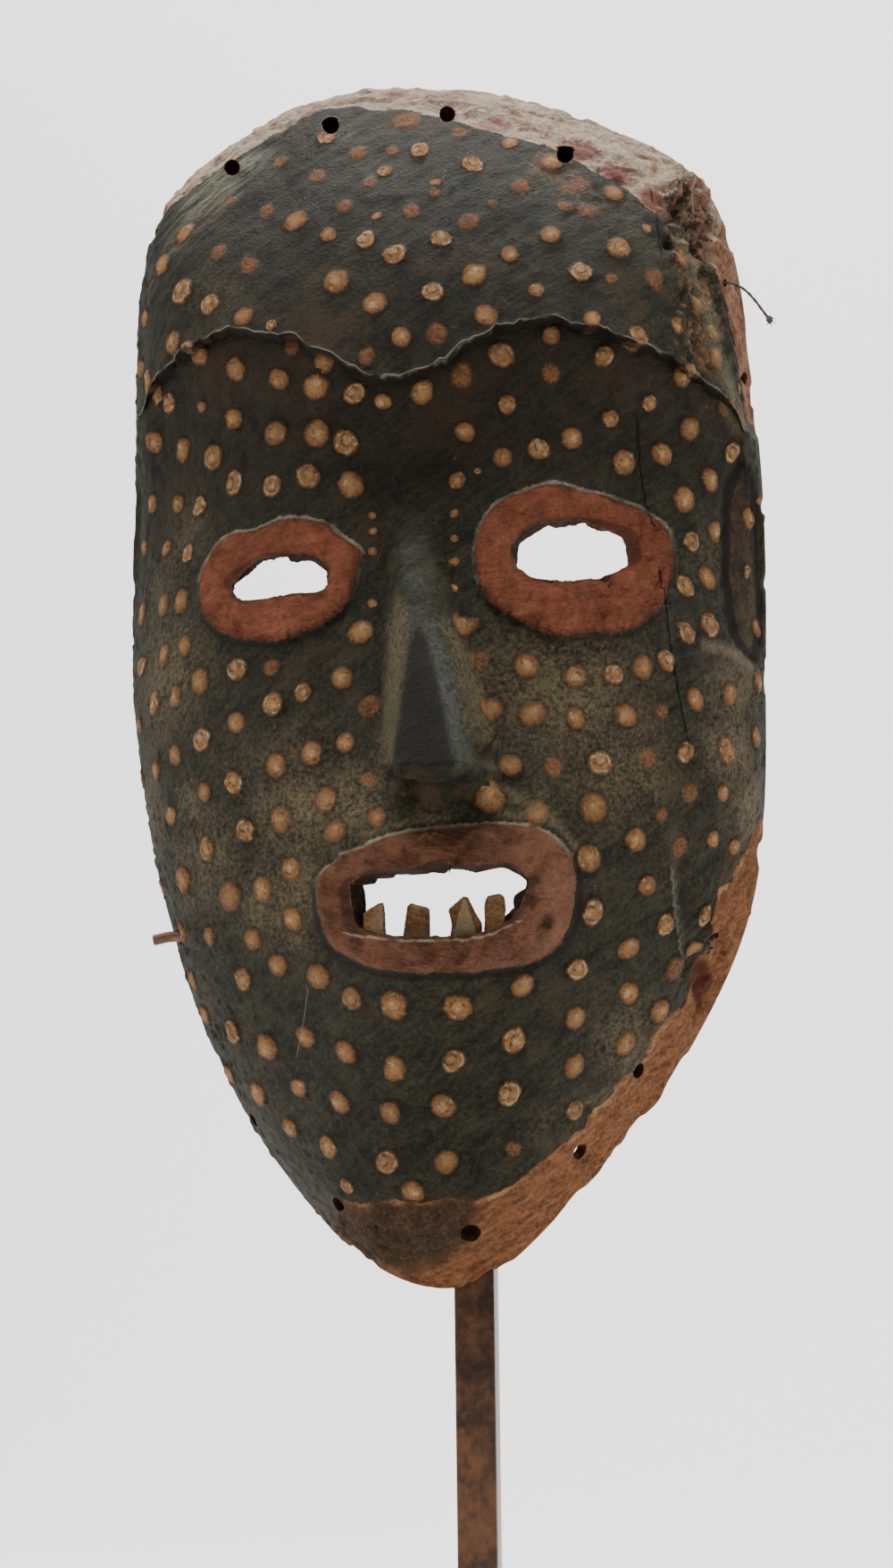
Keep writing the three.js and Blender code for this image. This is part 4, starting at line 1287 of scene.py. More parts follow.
# The dots: places, radii, ways across and up them that turn from dot to dot, and tones
def layDots(tree):
    names = ("forehead", "underBrow", "eyeLevel", "noseSides", "cheeks", "jaw", "chin", "faded")
    spots = [spot for name in names for spot in dots[name]]
    centres = layOn(tree, spots)
    normals = np.array([tree.find_nearest(Vector(c))[1] for c in centres])
    chance = np.random.default_rng(5)
    own = chance.uniform(0, 1, len(spots))
    tones = np.array([0.0 if name == "faded" else 1.0 for name in names for _ in dots[name]])
    radius = np.array([s[2] for s in spots]) * dots["unit"] / 2
    level = np.cross((0, 0, 1), normals)
    level /= np.linalg.norm(level, axis=1)[:, None]
    steep = np.cross(normals, level)
    longer, turn = (1 + 0.2 * (own - 0.5))[:, None], own[:, None] * 12.6
    return {
        "centre": centres, "radius": radius, "own": own,
        "tone": tones * chance.uniform(0.62, 1.0, len(spots)),
        "across": (level * np.cos(turn) + steep * np.sin(turn)) * longer / radius[:, None],
        "up": (steep * np.cos(turn) - level * np.sin(turn)) / longer / radius[:, None],
    }


# Dots, lines, tints and patches laid on the carved front
def layMarks(tree, made):
    made["front"] = tree
    made["dots"] = layDots(tree)
    made["lines"] = {name: [layOn(tree, line) for line in marks[name]] for name in sharpLines}
    for name in softLines:
        made["lines"][name] = [layOn(tree, spots) for spots, _, _ in marks[name]]
    made["tints"] = {name: layOn(tree, spots) for name, spots in tints.items()}
    made["patches"] = {name: onFace(tree, spots) for name, spots in patches.items()}


def makeFront():
    made = layPicture()
    grid, a, b = makeGrid("maskFront", maskForm["frontCells"])
    b = packedRows(a, b)
    x, z, forward, turn, reach = domePlace(a, b, 0, maskForm["domeDepth"])
    rings = ringFields(x, z, made)
    forward = frontForward(x, z, forward, turn, reach) + ringForms(x, z, rings)
    points = toRow(x, forward, z)
    writePoints(grid, points)
    normals = readNormals(grid)
    faces = [tuple(f.vertices) for f in grid.data.polygons]
    layMarks(BVHTree.FromPolygons(points.tolist(), faces), made)
    field = dotFields(points, ownDot(points, made["dots"]), made["dots"])
    field["lines"] = made["lines"]
    field["paintEdge"] = insideOutline(x, z, made["paint"])
    for name in patches:
        field[name] = insideOutline(x, z, made["patches"][name])
    height = frontRelief(points, x, z, reach, field, rings)
    points = points + normals * (height * smoothStep(0.0, 0.05, 1 - reach))[:, None]
    points += chippedRim(points, x, z, reach)
    points[:, 1] = np.minimum(points[:, 1], maskForm["place"][1])
    writePoints(grid, points)
    addField(grid, "frontFace", smoothStep(0, 0.01, 1 - reach))
    return grid, made


chips = {"deep": 0.9, "fine": 5, "broad": 11, "from": 0.80}     # mm; share of the way to the rim


# The rim is drawn in a little where it is chipped
def chippedRim(points, x, z, reach):
    inward = -np.stack([x, x * 0, z], axis=-1) / np.hypot(x, z).clip(1)[:, None]
    fine = patchy(points, chips["fine"], 22, 0.15, 0.6) * chips["deep"]
    chipped = fine + patchy(points, chips["broad"], 23, 0.2, 0.6) * chips["deep"]
    return inward * (chipped * smoothStep(chips["from"], 1.0, reach) ** 2)[:, None]


gouge = {"deep": 0.9, "size": 6, "fineDeep": 0.35, "fineSize": 3, "lift": 0.3}      # mm


# The hollow, cut with a gouge
def makeBack():
    grid, a, b = makeGrid("maskBack", maskForm["backCells"])
    x, z, forward, _, reach = domePlace(a, b, maskForm["rimWidth"], maskForm["innerDepth"])
    points = toRow(x, backForward(x, z, forward, reach), z)
    broad = np.abs(lumps(points * (1, 0.6, 0.4), gouge["size"], 8))
    fine = np.abs(lumps(points * (1, 0.7, 0.5), gouge["fineSize"], 9))
    scoops = gouge["deep"] * broad + gouge["fineDeep"] * fine
    points[:, 1] += scoops * smoothStep(0.02, 0.15, 1 - reach) - gouge["lift"]
    writePoints(grid, points)
    editAll(bpy.ops.mesh.flip_normals)
    addField(grid, "frontFace", np.zeros(len(points)))
    return grid


# Front and back joined round the rim
def joinShell(front, back):
    shell = joinAll(front, back)
    bpy.ops.object.mode_set(mode="EDIT")
    bpy.ops.mesh.select_mode(type="EDGE")
    bpy.ops.mesh.select_all(action="DESELECT")
    bpy.ops.mesh.select_non_manifold()
    bpy.ops.mesh.bridge_edge_loops(number_cuts=maskForm["rimCuts"], interpolation="LINEAR")
    bpy.ops.mesh.select_all(action="DESELECT")
    bpy.ops.object.mode_set(mode="OBJECT")
    return shell


# The picture's outline as distances from a middle at equal turns
def radiiRound(spots, middle, turns):
    spots = np.array(spots, float) - middle
    spots = np.array([mix(a, b, share) for a, b in zip(spots, np.roll(spots, -1, axis=0))
                      for share in np.linspace(0, 1, 12)])
    angle = np.arctan2(-spots[:, 1], spots[:, 0])
    order = np.argsort(angle)
    return np.interp(turns, angle[order], np.hypot(*spots[order].T), period=2 * math.pi)


# A solid lofted through outlines of the picture, each in its own plane across the line of sight.
# Sections run from the back forwards: how far forward of the rim plane, spots, and a share of size
def loftFromPicture(name, sections, sides, uneven, seed):
    loft = addShape(
        name, bpy.ops.mesh.primitive_circle_add, vertices=sides, radius=1, fill_type="NGON")
    bpy.ops.object.mode_set(mode="EDIT")
    for _ in sections[1:]:
        bpy.ops.mesh.extrude_region_move(TRANSFORM_OT_translate={"value": (0, 0, 1)})
    bpy.ops.object.mode_set(mode="OBJECT")
    start = readPoints(loft)
    turns = np.arctan2(start[:, 1], start[:, 0])
    level = np.round(start[:, 2]).astype(int)
    points = np.zeros_like(start)
    middle = np.mean(sections[-1][1], axis=0)
    for number, (forward, spots, size) in enumerate(sections):
        for index in np.where(level == number)[0]:
            turn = turns[index]
            far = radiiRound(spots, middle, turn) * size
            ring = np.array([[math.cos(turn), math.sin(turn), number * 0.4]])
            far += uneven * (lumps(ring * 9, 1, seed) + 0.9 * lumps(ring * 24, 1, seed + 1))[0]
            eye, way = sightLine(middle + np.array([math.cos(turn), -math.sin(turn)]) * far)
            plane = maskForm["place"][1] - forward
            points[index] = eye / mm + way * ((plane - eye.y / mm) / way.y)
    writePoints(loft, points)
    editAll(bpy.ops.mesh.normals_make_consistent, inside=False)
    return loft


# How far forward the face stands at a place (x, z) in the mask's frame
def forwardAt(tree, place):
    start = Vector(toRow(*(np.array([v]) for v in (place[0], 200.0, place[1])))[0])
    return maskForm["place"][1] - tree.ray_cast(start, Vector((0, 1, 0)))[0].y


# The shape that opens an eye or the mouth: as seen at the back, as carved at the lip
plugs = {"past": 16, "flare": 1.12, "lipIn": 2.2, "out": 6, "uneven": 1.3}


def holePlug(name, made, seed):
    cut = mouthRing if name == "mouth" else eyeRing
    front, seen = outlines[name + "Hole"], outlines[name + "Seen"]
    lip = max(forwardAt(made["front"], place) for place in made["holes"][name][::3] * 1.0)
    back = lip - cut["wall"]
    sections = [
        (back - plugs["past"], seen, plugs["flare"]), (back, seen, 1.0),
        (lip - plugs["lipIn"], front, 1.0), (lip + plugs["out"], front, 1.0),
    ]
    return loftFromPicture(name + "Plug", sections, cut["sides"], plugs["uneven"], seed)


# Round bores: through the rim for a fringe, through the sides for the rod, and for the thread
bores = {
    "rim": [
        (136, 0.84, 4), (121.5, 0.73, 4), (104.5, 0.71, 4.4), (85, 0.725, 4), (65, 0.69, 4.3),
        (26.5, 0.9, 4), (-51.5, 0.76, 4), (-65, 0.795, 4), (-89, 0.74, 5.2), (-118.5, 0.775, 4),
        (-137, 0.89, 4), (179, 0.9, 4),
    ],                                                          # turn, reach, bore
    "sides": 18, "boreOut": 8, "boreIn": 28, "toFront": 0.5, "topFrom": 0.8, "topSeen": 6,
    "straight": [
        ((-90, 0, 205), (-62, 0, 206.6), 4.4), ((62.5, 0, 201.5), (44, 0, 200.8), 4.4),
        ((50, 3.4, 370.4), (76, -4.2, 370.5), 1.9),
    ],
}


def boreBetween(start, end, bore):
    start, end = Vector(start), Vector(end)
    turned = (end - start).to_track_quat("Z", "Y").to_euler()
    cylinder = addShape(
        "bore", bpy.ops.mesh.primitive_cylinder_add, vertices=bores["sides"], radius=bore / 2,
        depth=(end - start).length, location=(start + end) / 2, rotation=turned)
    bpy.ops.object.transform_apply(location=True, rotation=True, scale=True)
    return cylinder


# Square to the face; those at the top are worn round to the line of sight at their mouths
def rimBore(turn, reach, bore, mouthOnly):
    def at(t, r):
        t, r = np.array([math.radians(t)]), np.array([r])
        x, z, forward, *_ = turnedPlace(t, r, 0, maskForm["domeDepth"])
        return Vector(toRow(x, forward, z)[0])
    here = at(turn, reach)
    if mouthOnly:
        out, deep = (sightLine((0, 0))[0] / mm - here).normalized(), bores["topSeen"]
    else:
        along, outward = at(turn + 1, reach) - here, at(turn, min(reach + 0.02, 1)) - here
        square = outward.cross(along).normalized()
        out, deep = (square + Vector((0, -bores["toFront"], 0))).normalized(), bores["boreIn"]
    return boreBetween(here - out * deep, here + out * bores["boreOut"], bore)


# Teeth cut from the same wood as the lower lip, as the picture shows them
teeth = {
    "front": 63.0, "back": 56.0, "sides": 30, "uneven": 0.5,
    "backEdge": (1.5, 0.94), "frontEdge": (1.2, 0.9),       # mm, and the share of size at its end
    "rows": [
        [(407, 1056), (407, 1022), (416, 1016), (426, 1010), (430, 1010), (431, 1022), (433, 1056)],
        [(450, 1058), (453, 1036), (456, 1014), (460, 1010), (464, 1012), (472, 1014), (481, 1016),
         (482, 1058)],
        [(503, 1058), (506, 1034), (502, 1018), (511, 1010), (519, 1003), (524, 1004), (531, 1019),
         (540, 1034), (540, 1058)],
        [(541, 1056), (543, 1030), (542, 1012), (545, 1003), (559, 1000), (565, 1003), (566, 1014),
         (566, 1030), (567, 1056)],
    ],
}


def makeTooth(spots, seed):
    front, back = teeth["front"], teeth["back"]
    (behind, foot), (ahead, tip) = teeth["backEdge"], teeth["frontEdge"]
    sections = [
        (back, spots, foot), (back + behind, spots, 1.0), (front - ahead, spots, 1.0),
        (front, spots, tip),
    ]
    return loftFromPicture("tooth", sections, teeth["sides"], teeth["uneven"], seed)


def combine(solid, other, operation):
    selectOnly(solid)
    joined = solid.modifiers.new("combine", "BOOLEAN")
    joined.operation, joined.solver, joined.object = operation, "MANIFOLD", other
    bpy.ops.object.modifier_apply(modifier="combine")
    bpy.data.objects.remove(other)


def cutAway(shell, shapes):
    cutter = joinAll(*shapes)
    markFaces(cutter, "cutWood", 1)
    combine(shell, cutter, "DIFFERENCE")


# The widened mouths of the top holes are cut after the bores they belong to
def makeMask():
    front, made = makeFront()
    shell = joinShell(front, makeBack())
    print("stage: mask shell", len(shell.data.polygons), "faces")
    markFaces(shell, "cutWood", 0)
    atTop = [bore for bore in bores["rim"] if math.sin(math.radians(bore[0])) > bores["topFrom"]]
    openings = [holePlug(name, made, 30 + n) for n, name in enumerate(made["rings"])]
    openings += [rimBore(*bore, mouthOnly=False) for bore in bores["rim"]]
    openings += [boreBetween(*bore) for bore in bores["straight"]]
    cutAway(shell, openings)
    cutAway(shell, [rimBore(*bore, mouthOnly=True) for bore in atTop])
    print("stage: openings cut", len(shell.data.polygons), "faces")
    toothRow = joinAll(*[makeTooth(spots, 50 + n) for n, spots in enumerate(teeth["rows"])])
    markFaces(toothRow, "toothWood", 1)
    markFaces(shell, "toothWood", 0)
    combine(shell, toothRow, "UNION")
    shell.name = shell.data.name = "carvedMask"
    addFields(shell, made)
    return shell


# What the paint needs to know at each point of the mask, and then the mask in metres
def addFields(shell, made):
    points = readPoints(shell)
    x, forward, z = toMask(points)
    addDots(shell, points, made["dots"])
    addField(shell, "paintEdge", insideOutline(x, z, made["paint"]))
    for name in patches:
        inside = insideOutline(x, z, made["patches"][name])
        addField(shell, name, np.where(forward > 2, inside, -12.0))
    rings = ringFields(x, z, made)
    addField(shell, "eyeBand", np.maximum(rings["leftEye"]["ring"], rings["rightEye"]["ring"]))
    addField(shell, "mouthBand", rings["mouth"]["ring"])
    addField(shell, "holeBand", np.max([ring["hole"] for ring in rings.values()], axis=0))
    addField(shell, "browOver", np.clip(z - browHeight(x), -6, 6))
    for name in sharpLines:
        signed = np.full(len(points), float(marks["reach"]))
        for line in made["lines"][name]:
            near, away = distanceToLine(points, line)
            signed = np.where(near < np.abs(signed), away, signed)
        addField(shell, name + "Side", signed)
        addField(shell, name + "Near", np.abs(signed))
    for name in softLines:
        addField(shell, name, np.max(list(softShares(points, made["lines"], name)), axis=0))
    normals = readNormals(shell)
    addField(shell, "upward", normals[:, 2])
    addField(shell, "sideward", np.abs(normals[:, 0]))
    spots = relief["knots"] | relief["holes"]
    for name in ("knot", "sideCrust", "maroonNotch", "wingPit"):
        addField(shell, name + "Here", spotShare(x, z, spots[name]) * (forward > 2))
    for name, spots in tints.items():
        shares = [strength * np.exp(-((points - centre) ** 2).sum(axis=1) / size**2)
                  for centre, (_, _, size, strength) in zip(made["tints"][name], spots)]
        addField(shell, name + "Tint", np.max(shares, axis=0))
    addField(shell, "faceUp", z / 160)
    writePoints(shell, points * mm)


# Bare wood, pale and stained at the top
woodLook = {
    "deep": (72, 43, 26), "light": (140, 94, 60), "dark": (54, 32, 22), "chip": (196, 160, 122),
    "bleached": (158, 146, 128), "weathered": (122, 98, 80), "reddened": (108, 64, 57),
    "maroon": (98, 52, 48), "fissure": (54, 40, 33),
}


def bareWood(wire, grain, fine, blotch):
    fibre = wire.cloud(2.2, 5, 0.7, stretch=(4, 1, 0.7), shift=0.03, tilt=24)
    speck = wire.cloud(0.7, 4, 0.65)
    wood = Coats(wire, woodLook, "deep")
    wood.lay("light", (fibre * 0.8 + grain * 0.5 + 0.45).rise(0, 1))
    wood.lay("dark", (blotch * 0.8 + fibre * 0.6 + speck * 0.6).rise(0.3, 0.85) * 0.85)
    wood.lay("chip", (speck * 0.6 + fibre * 0.6 + grain * 0.3).rise(0.45, 0.9) * 0.55)

    fissure = wire.cloud(1.6, 4, 0.7, stretch=(9, 2, 0.7), shift=0.04)
    maroon = wire.field("maroonTint") * 1.1 + fibre * 0.5 + grain * 0.4
    pale = Coats(wire, woodLook, "bleached")
    pale.lay("weathered", (grain * 0.8 + fibre * 0.9 + blotch * 0.5).rise(-0.5, 0.5))
    pale.lay("reddened", (wire.cloud(16, 2, 0.55) + fibre * 0.25).rise(0.1, 0.5) * 0.5)
    pale.lay("maroon", maroon.rise(0.25, 0.8) * 0.8)
    pale.lay("fissure", (fissure + fine * 0.4 + speck * 0.3).rise(0.22, 0.6) * 0.8)
    top = wire.field("faceUp").rise(0.55, 0.8) * wire.field("sideward").rise(0.95, 0.6)
    return wire.over(wood.top, pale.top, top)


# Dark paint, brown in clouds, dusty and rubbed, with brush hairs and painted glints of light on the
# grain
paintLook = {
    "dark": (14, 14, 9), "streak": (58, 55, 37), "high": (20, 19, 13), "brown": (58, 42, 25),
    "dust": (126, 109, 80), "grey": (142, 139, 120), "slopeDustAndLight": (120, 108, 82),
    "facetSheen": (84, 89, 84), "noseFrontShade": (17, 16, 12), "hair": (142, 128, 96),
    "glint": (168, 150, 112), "rust": (118, 72, 44), "smear": (120, 78, 48),
    "speck": (10, 9, 6), "underBrow": (30, 23, 14), "paintEdge": (34, 25, 17),
}


def darkPaint(wire, grain, fine, blotch, edge):
    broad, speck = wire.cloud(26, 3, 0.55), wire.cloud(0.5, 3, 0.7)
    streak = wire.cloud(1.7, 5, 0.72, stretch=(7, 3, 0.8), shift=0.02, tilt=36)
    paint = Coats(wire, paintLook, "dark")
    paint.lay("streak", (streak * 0.6 + grain * 0.7 + blotch * 0.4 + 0.4).rise(0, 1))
    paint.lay("high", wire.field("faceUp").rise(0.4, 0.8) * 0.35)
    # brown in clouds, and brown painted shade where the brown tints lie
    brown = broad + grain * 0.5 + blotch * 0.6 + wire.field("brownTint") * 0.8
    paint.lay("brown", brown.rise(0.1, 0.9) * 0.75)
    dusty = 0.66 + grain * 1.1 + speck * 0.6 + blotch * 0.3
    dust = wire.field("dustTint") * dusty + broad * 0.16 + 0.06
    paint.lay("dust", dust.rise(0.08, 1.1) * 0.6)
    grey = wire.field("greyTint") * (0.6 + streak * 1.2 + fine * 0.3)
    paint.lay("grey", grey.rise(0.12, 0.95) * 0.7)

    # the nose: dusty slopes painted lit, painted sheen on the lit facet and along the ridge, and
    # the front in painted shade
    ragged = grain * 0.5 + wire.cloud(3, 3, 0.6) * 0.6
    slopes = wire.math("MAXIMUM", wire.field("noseLeft"), wire.field("noseRight"))
    slopes = slopes + wire.cloud(4, 4, 0.7) * 2.2
    paint.lay("slopeDustAndLight", slopes.rise(-2.5, 2.0) * (0.6 + grain * 1.2 + speck * 0.9) * 0.5)
    facetSheen = (wire.field("noseFacet") + ragged * 1.4).rise(-1.0, 1.4) * 0.75
    facetSheen = wire.math("MAXIMUM", wire.field("blueTint"), facetSheen)
    paint.lay("facetSheen", facetSheen * (0.6 + grain * 0.8) * 0.8)
    dark = (wire.field("noseFace") + ragged * 1.2).rise(-0.8, 0.8)
    # with the dark tints: painted shade under the brow and at the nose's root, darker paint on the
    # forehead and chin
    dark = wire.math("MAXIMUM", wire.field("darkTint"), dark)
    paint.lay("noseFrontShade", dark * (0.85 + grain * 0.3) * 0.85)

    hair = wire.cloud(1.2, 5, 0.78, stretch=(5, 3, 0.7), shift=0.06, tilt=-28)
    bright = hair * 0.7 + speck * 0.8 + fine * 0.3 + dust * 0.25 - dark * 0.15
    paint.lay("hair", bright.rise(0.45, 0.95) * 0.55)
    # painted glints: specks of light on the grain
    sharp = wire.cloud(0.42, 2, 0.5, shift=0.02)
    glints = sharp * 0.9 + grain * 0.6 + wire.cloud(6, 3, 0.6) * 0.4 + dust * 0.15
    paint.lay("glint", glints.rise(0.58, 0.85) * 0.55)
    rust = wire.cloud(2.0, 3, 0.6) + speck * 0.4 + brown * 0.1
    paint.lay("rust", rust.rise(0.48, 0.8) * 0.45)
    smear = wire.field("smearTint") * 1.3 + wire.cloud(5, 4, 0.7, shift=0.05) * 0.8
    smear = smear + grain * 0.5 + speck * 0.3
    paint.lay("smear", (smear - 0.7).rise(0.0, 0.8) * 0.7)
    paint.lay("speck", (speck * -0.7 - sharp * 0.5 + grain * 0.4).rise(0.3, 0.6) * 0.75)
    # painted shade under the brow
    shade = (1.0 - wire.field("browOver").rise(-0.2, 0.3)) * wire.field("faceUp").rise(0.2, 0.34)
    paint.lay("underBrow", shade * 0.45)
    paint.lay("paintEdge", (1.0 - edge.rise(0.1, 1.4)) * 0.35)
    return paint.top


# Red earth round the eyes
redLook = {
    "dark": (88, 48, 32), "light": (138, 78, 53), "worn": (158, 108, 80), "crease": (42, 20, 13),
    "grit": (196, 124, 84), "stain": (70, 46, 34), "outside": (40, 27, 19),
}


def redEarth(wire, grain, blotch):
    crease = wire.cloud(1.1, 5, 0.78, stretch=(4, 2, 0.7), shift=0.05, tilt=12)
    speck = wire.cloud(0.5, 4, 0.7)
    wear = wire.cloud(6, 4, 0.65, shift=0.04)
    red = Coats(wire, redLook, "dark")
    red.lay("light", (crease * 0.6 + grain * 0.5 + wear * 0.7 + 0.5).rise(0, 1))
    red.lay("worn", (wear * 0.9 + grain * 0.5 + speck * 0.4).rise(0.15, 0.75) * 0.65)
    red.lay("crease", (crease * 1.0 + speck * 0.8 - wear * 0.2).rise(0.25, 0.62) * 0.85)
    red.lay("grit", (speck * -1.0 + grain * 0.5 + blotch * 0.3).rise(0.36, 0.7) * 0.7)
    red.lay("stain", (wire.cloud(4, 4, 0.7) + grain * 0.4).rise(0.15, 0.6) * 0.6)
    red.lay("outside", (1.0 - (wire.field("eyeBand") + grain + wear).rise(-0.4, 1.3)) * 0.65)
    return red.top


# Browner earth round the mouth, pink where it is worn, scratched and stained
lipLook = {
    "dark": (66, 40, 28), "light": (128, 84, 60), "brown": (58, 40, 30), "worn": (46, 27, 20),
    "pink": (164, 116, 90), "grit": (196, 150, 114), "scratch": (34, 21, 15),
    "pit": (56, 29, 22), "stain": (26, 17, 13),
}


def lipEarth(wire, grain, fine, blotch):
    scratch = wire.cloud(1.3, 5, 0.78, stretch=(3.5, 2, 0.8), shift=0.07, tilt=-20)
    speck = wire.cloud(0.5, 4, 0.7)
    pink = wire.field("pinkTint")
    lip = Coats(wire, lipLook, "dark")
    lip.lay("light", (scratch * 0.7 + blotch * 0.8 + grain * 0.3 + 0.45).rise(0, 1))
    lip.lay("brown", (wire.cloud(9, 3, 0.6) + grain * 0.5).rise(0.0, 0.6) * 0.25)
    lip.lay("worn", (blotch * 0.9 + scratch * 0.8 + speck * 0.5).rise(0.25, 0.75) * 0.8)
    lip.lay("pink", pink * (0.8 + grain * 0.7) * 0.55)
    lip.lay("grit", (speck * -1.0 + grain * 0.6 - blotch * 0.2).rise(0.36, 0.72) * 0.65)
    lip.lay("scratch", (scratch * 1.1 - grain * 0.4).rise(0.42, 0.66) * 0.8)
    pits = speck * 0.8 + fine * 0.3 + wire.cloud(1.8, 3, 0.6) * 0.6 + pink * 0.15
    lip.lay("pit", pits.rise(0.4, 0.75) * 0.75)
    lip.lay("stain", (wire.field("stainTint") * (0.9 + grain * 0.6)).rise(0.2, 0.8) * 0.85)
    return lip.top


# Dabs of ochre, the faded ones rubbed through
dotLook = {
    "edge": (108, 72, 42), "middle": (156, 116, 74), "pale": (208, 178, 138),
    "crest": (214, 184, 142), "rim": (86, 52, 29), "arc": (66, 40, 24), "crumb": (66, 42, 25),
    "dim": (84, 54, 33), "fadedDark": (110, 68, 38), "fadedLight": (160, 108, 66),
}


# Share of a dot's dabbed paint here, its colour with painted shading and highlights, and the dark
# line round it, dirt and painted shadow
def dabbedDots(wire):
    across, up, own, tone = (
        wire.field(name) for name in ("dotAcross", "dotUp", "dotOwn", "dotTone"))
    radius = (across * across + up * up) ** 0.5
    radius = radius + wire.cloud(2.4, 3, 0.6) * 0.22 + wire.cloud(0.7, 3, 0.6) * 0.12
    strong = tone.rise(0.2, 0.6)
    faded = 1.0 - strong
    inside = strong * (1.0 - radius.rise(0.8, 1.02)) + faded * (1.0 - radius.rise(0.55, 1.05))
    smear, granule = wire.cloud(1.0, 4, 0.75, shift=0.09), wire.cloud(0.55, 4, 0.72)
    rubbed = (0.42 + wire.cloud(2.0, 4, 0.7) * 0.7 + granule * 0.3).rise(-0.2, 0.9)
    share = inside * (strong * 0.97 + faded * rubbed * 0.9)

    ochre = Coats(wire, dotLook, "edge")
    # darker at the edge and paler in the middle: painted shading of the dome
    ochre.lay("middle", (1.0 - radius * 0.9 + smear * 0.9).rise(0.0, 0.9))
    # a pale patch off the middle: dust and painted highlight
    middle = ((across - 0.35 + own * 0.7) ** 2.0 + (up - 0.3 + own * 0.4) ** 2.0) ** 0.5
    pale = (granule * 0.8 + smear * 0.6 + 0.45 - middle * 0.8).rise(0.1, 0.85)
    ochre.lay("pale", pale * tone.rise(0.35, 0.9) * 0.85)
    # a pale ring: painted highlight on the ridge of the dab
    crest = (wire.cloud(1.8, 3, 0.6) + own * 0.8 - 0.5).rise(0.0, 0.5)
    ochre.lay("crest", (1.0 - abs(radius - 0.72).rise(0.03, 0.18)) * crest * 0.75)
    # painted shade towards the edge
    ochre.lay("rim", radius.rise(0.6, 0.98) * 0.6)
    arc = (wire.cloud(1.6, 3, 0.65, shift=0.2) + own * 0.4).rise(0.2, 0.55)
    ochre.lay("arc", (1.0 - abs(middle - 0.45).rise(0.04, 0.16)) * arc * 0.8)
    ochre.lay("crumb", (smear * 0.6 - granule * 1.0).rise(0.3, 0.62) * 0.8)
    ochre.lay("dim", (1.0 - tone) * 0.9 * strong)
    rubbed = ochre.blend("fadedDark", "fadedLight", granule.rise(-0.3, 0.5))
    # the dark line round the dot: dirt and painted shadow
    halo = (1.0 - abs(radius - 1.08).rise(0.03, 0.16)) * strong
    return share, wire.over(rubbed, ochre.top, strong), halo


# Share of a thin line of the picture here, between a half width that is full and one where it ends
def lineShare(wire, name, wander, full, end):
    line = 1.0 - abs(wire.field(name + "Side") + wander).rise(full, end)
    return line * (1.0 - wire.field(name + "Near").rise(1.2, 1.8))


maskLook = {
    "tanLine": (176, 142, 102), "crumbDark": (62, 46, 32), "crumbLight": (148, 104, 66),
    "scuffDark": (28, 24, 17), "scuffLight": (82, 64, 44), "knotDark": (30, 22, 18),
    "knotLight": (120, 96, 78), "stripDark": (84, 52, 40), "stripLight": (148, 108, 86),
    "maroon": (60, 24, 18), "ringShadow": (20, 15, 10), "ringTopDustAndLight": (150, 141, 120),
    "holeCrust": (52, 27, 18), "lipCrest": (170, 154, 132), "dotHalo": (18, 14, 10),
    "rubbed": (108, 98, 74), "rubbedLight": (168, 150, 114), "rubbedDark": (24, 20, 14),
    "browEdge": (128, 124, 104), "browShadow": (14, 11, 8), "ridge": (120, 116, 100),
    "hairline": (110, 108, 94), "crack": (12, 9, 8), "slotDark": (40, 29, 19),
    "slotLight": (86, 66, 44), "slotEdgeShadow": (15, 11, 8), "gloom": (17, 13, 9), "pit": (20, 16, 12),
    "hollowDark": (58, 38, 25), "hollowLight": (120, 84, 55), "hollowStain": (34, 24, 17),
    "cutDark": (38, 21, 13), "cutLight": (100, 60, 38), "toothDark": (84, 52, 30),
    "toothLight": (160, 118, 78), "toothStain": (62, 38, 24), "toothTip": (196, 172, 136),
}


# Crust and stains at the worn right side, scuffed wood at the chin, the knot
def layWear(body, grain, fine, blotch, edge, painted):
    wire = body.wire
    tanLine = (1.0 - abs(edge + 0.4).rise(0.15, 0.6)) * (blotch + 0.4).rise(0.2, 0.9)
    body.lay("tanLine", tanLine * 0.6)
    crust = wire.field("sideCrustHere") * 0.7 + grain * 0.6 + wire.cloud(3.4, 4, 0.7) * 1.1
    crumbs = (grain * 0.7 + wire.cloud(2.4, 3, 0.6)).rise(-0.45, 0.55)
    crumbs = body.blend("crumbDark", "crumbLight", crumbs)
    body.lay(crumbs, (crust - 0.35).rise(0.0, 0.8) * 0.8 * painted)
    worn = wire.field("chinWorn") * 0.22 + grain * 0.6 + wire.cloud(5, 4, 0.6) * 0.9
    scuffed = (grain + blotch * 0.6 + fine * 0.3).rise(-0.4, 0.8)
    scuffed = body.blend("scuffDark", "scuffLight", scuffed)
    body.lay(scuffed, worn.rise(-0.5, 0.5) * wire.field("chinWorn").rise(-2.0, 0.0) * 0.92)
    knot = (wire.field("knotHere") * 1.5 + grain * 0.7 - 0.5).rise(0.0, 0.4)
    gnarl = (grain * 0.8 + wire.cloud(2.6, 3, 0.6)).rise(-0.3, 0.55)
    body.lay(body.blend("knotDark", "knotLight", gnarl), knot * 0.95)
    redStrip = wire.field("sideward").rise(0.6, 0.95) * wire.field("faceUp").rise(0.3, 0.5)
    strip = (grain + blotch + fine * 0.3).rise(-0.5, 0.6)
    body.lay(body.blend("stripDark", "stripLight", strip), (1.0 - painted) * redStrip * 0.9)
    maroon = wire.field("maroonNotchHere") * 1.4 + grain * 0.4 + blotch * 0.3 - 0.35
    body.lay("maroon", maroon.rise(0.0, 0.5) * 0.85)
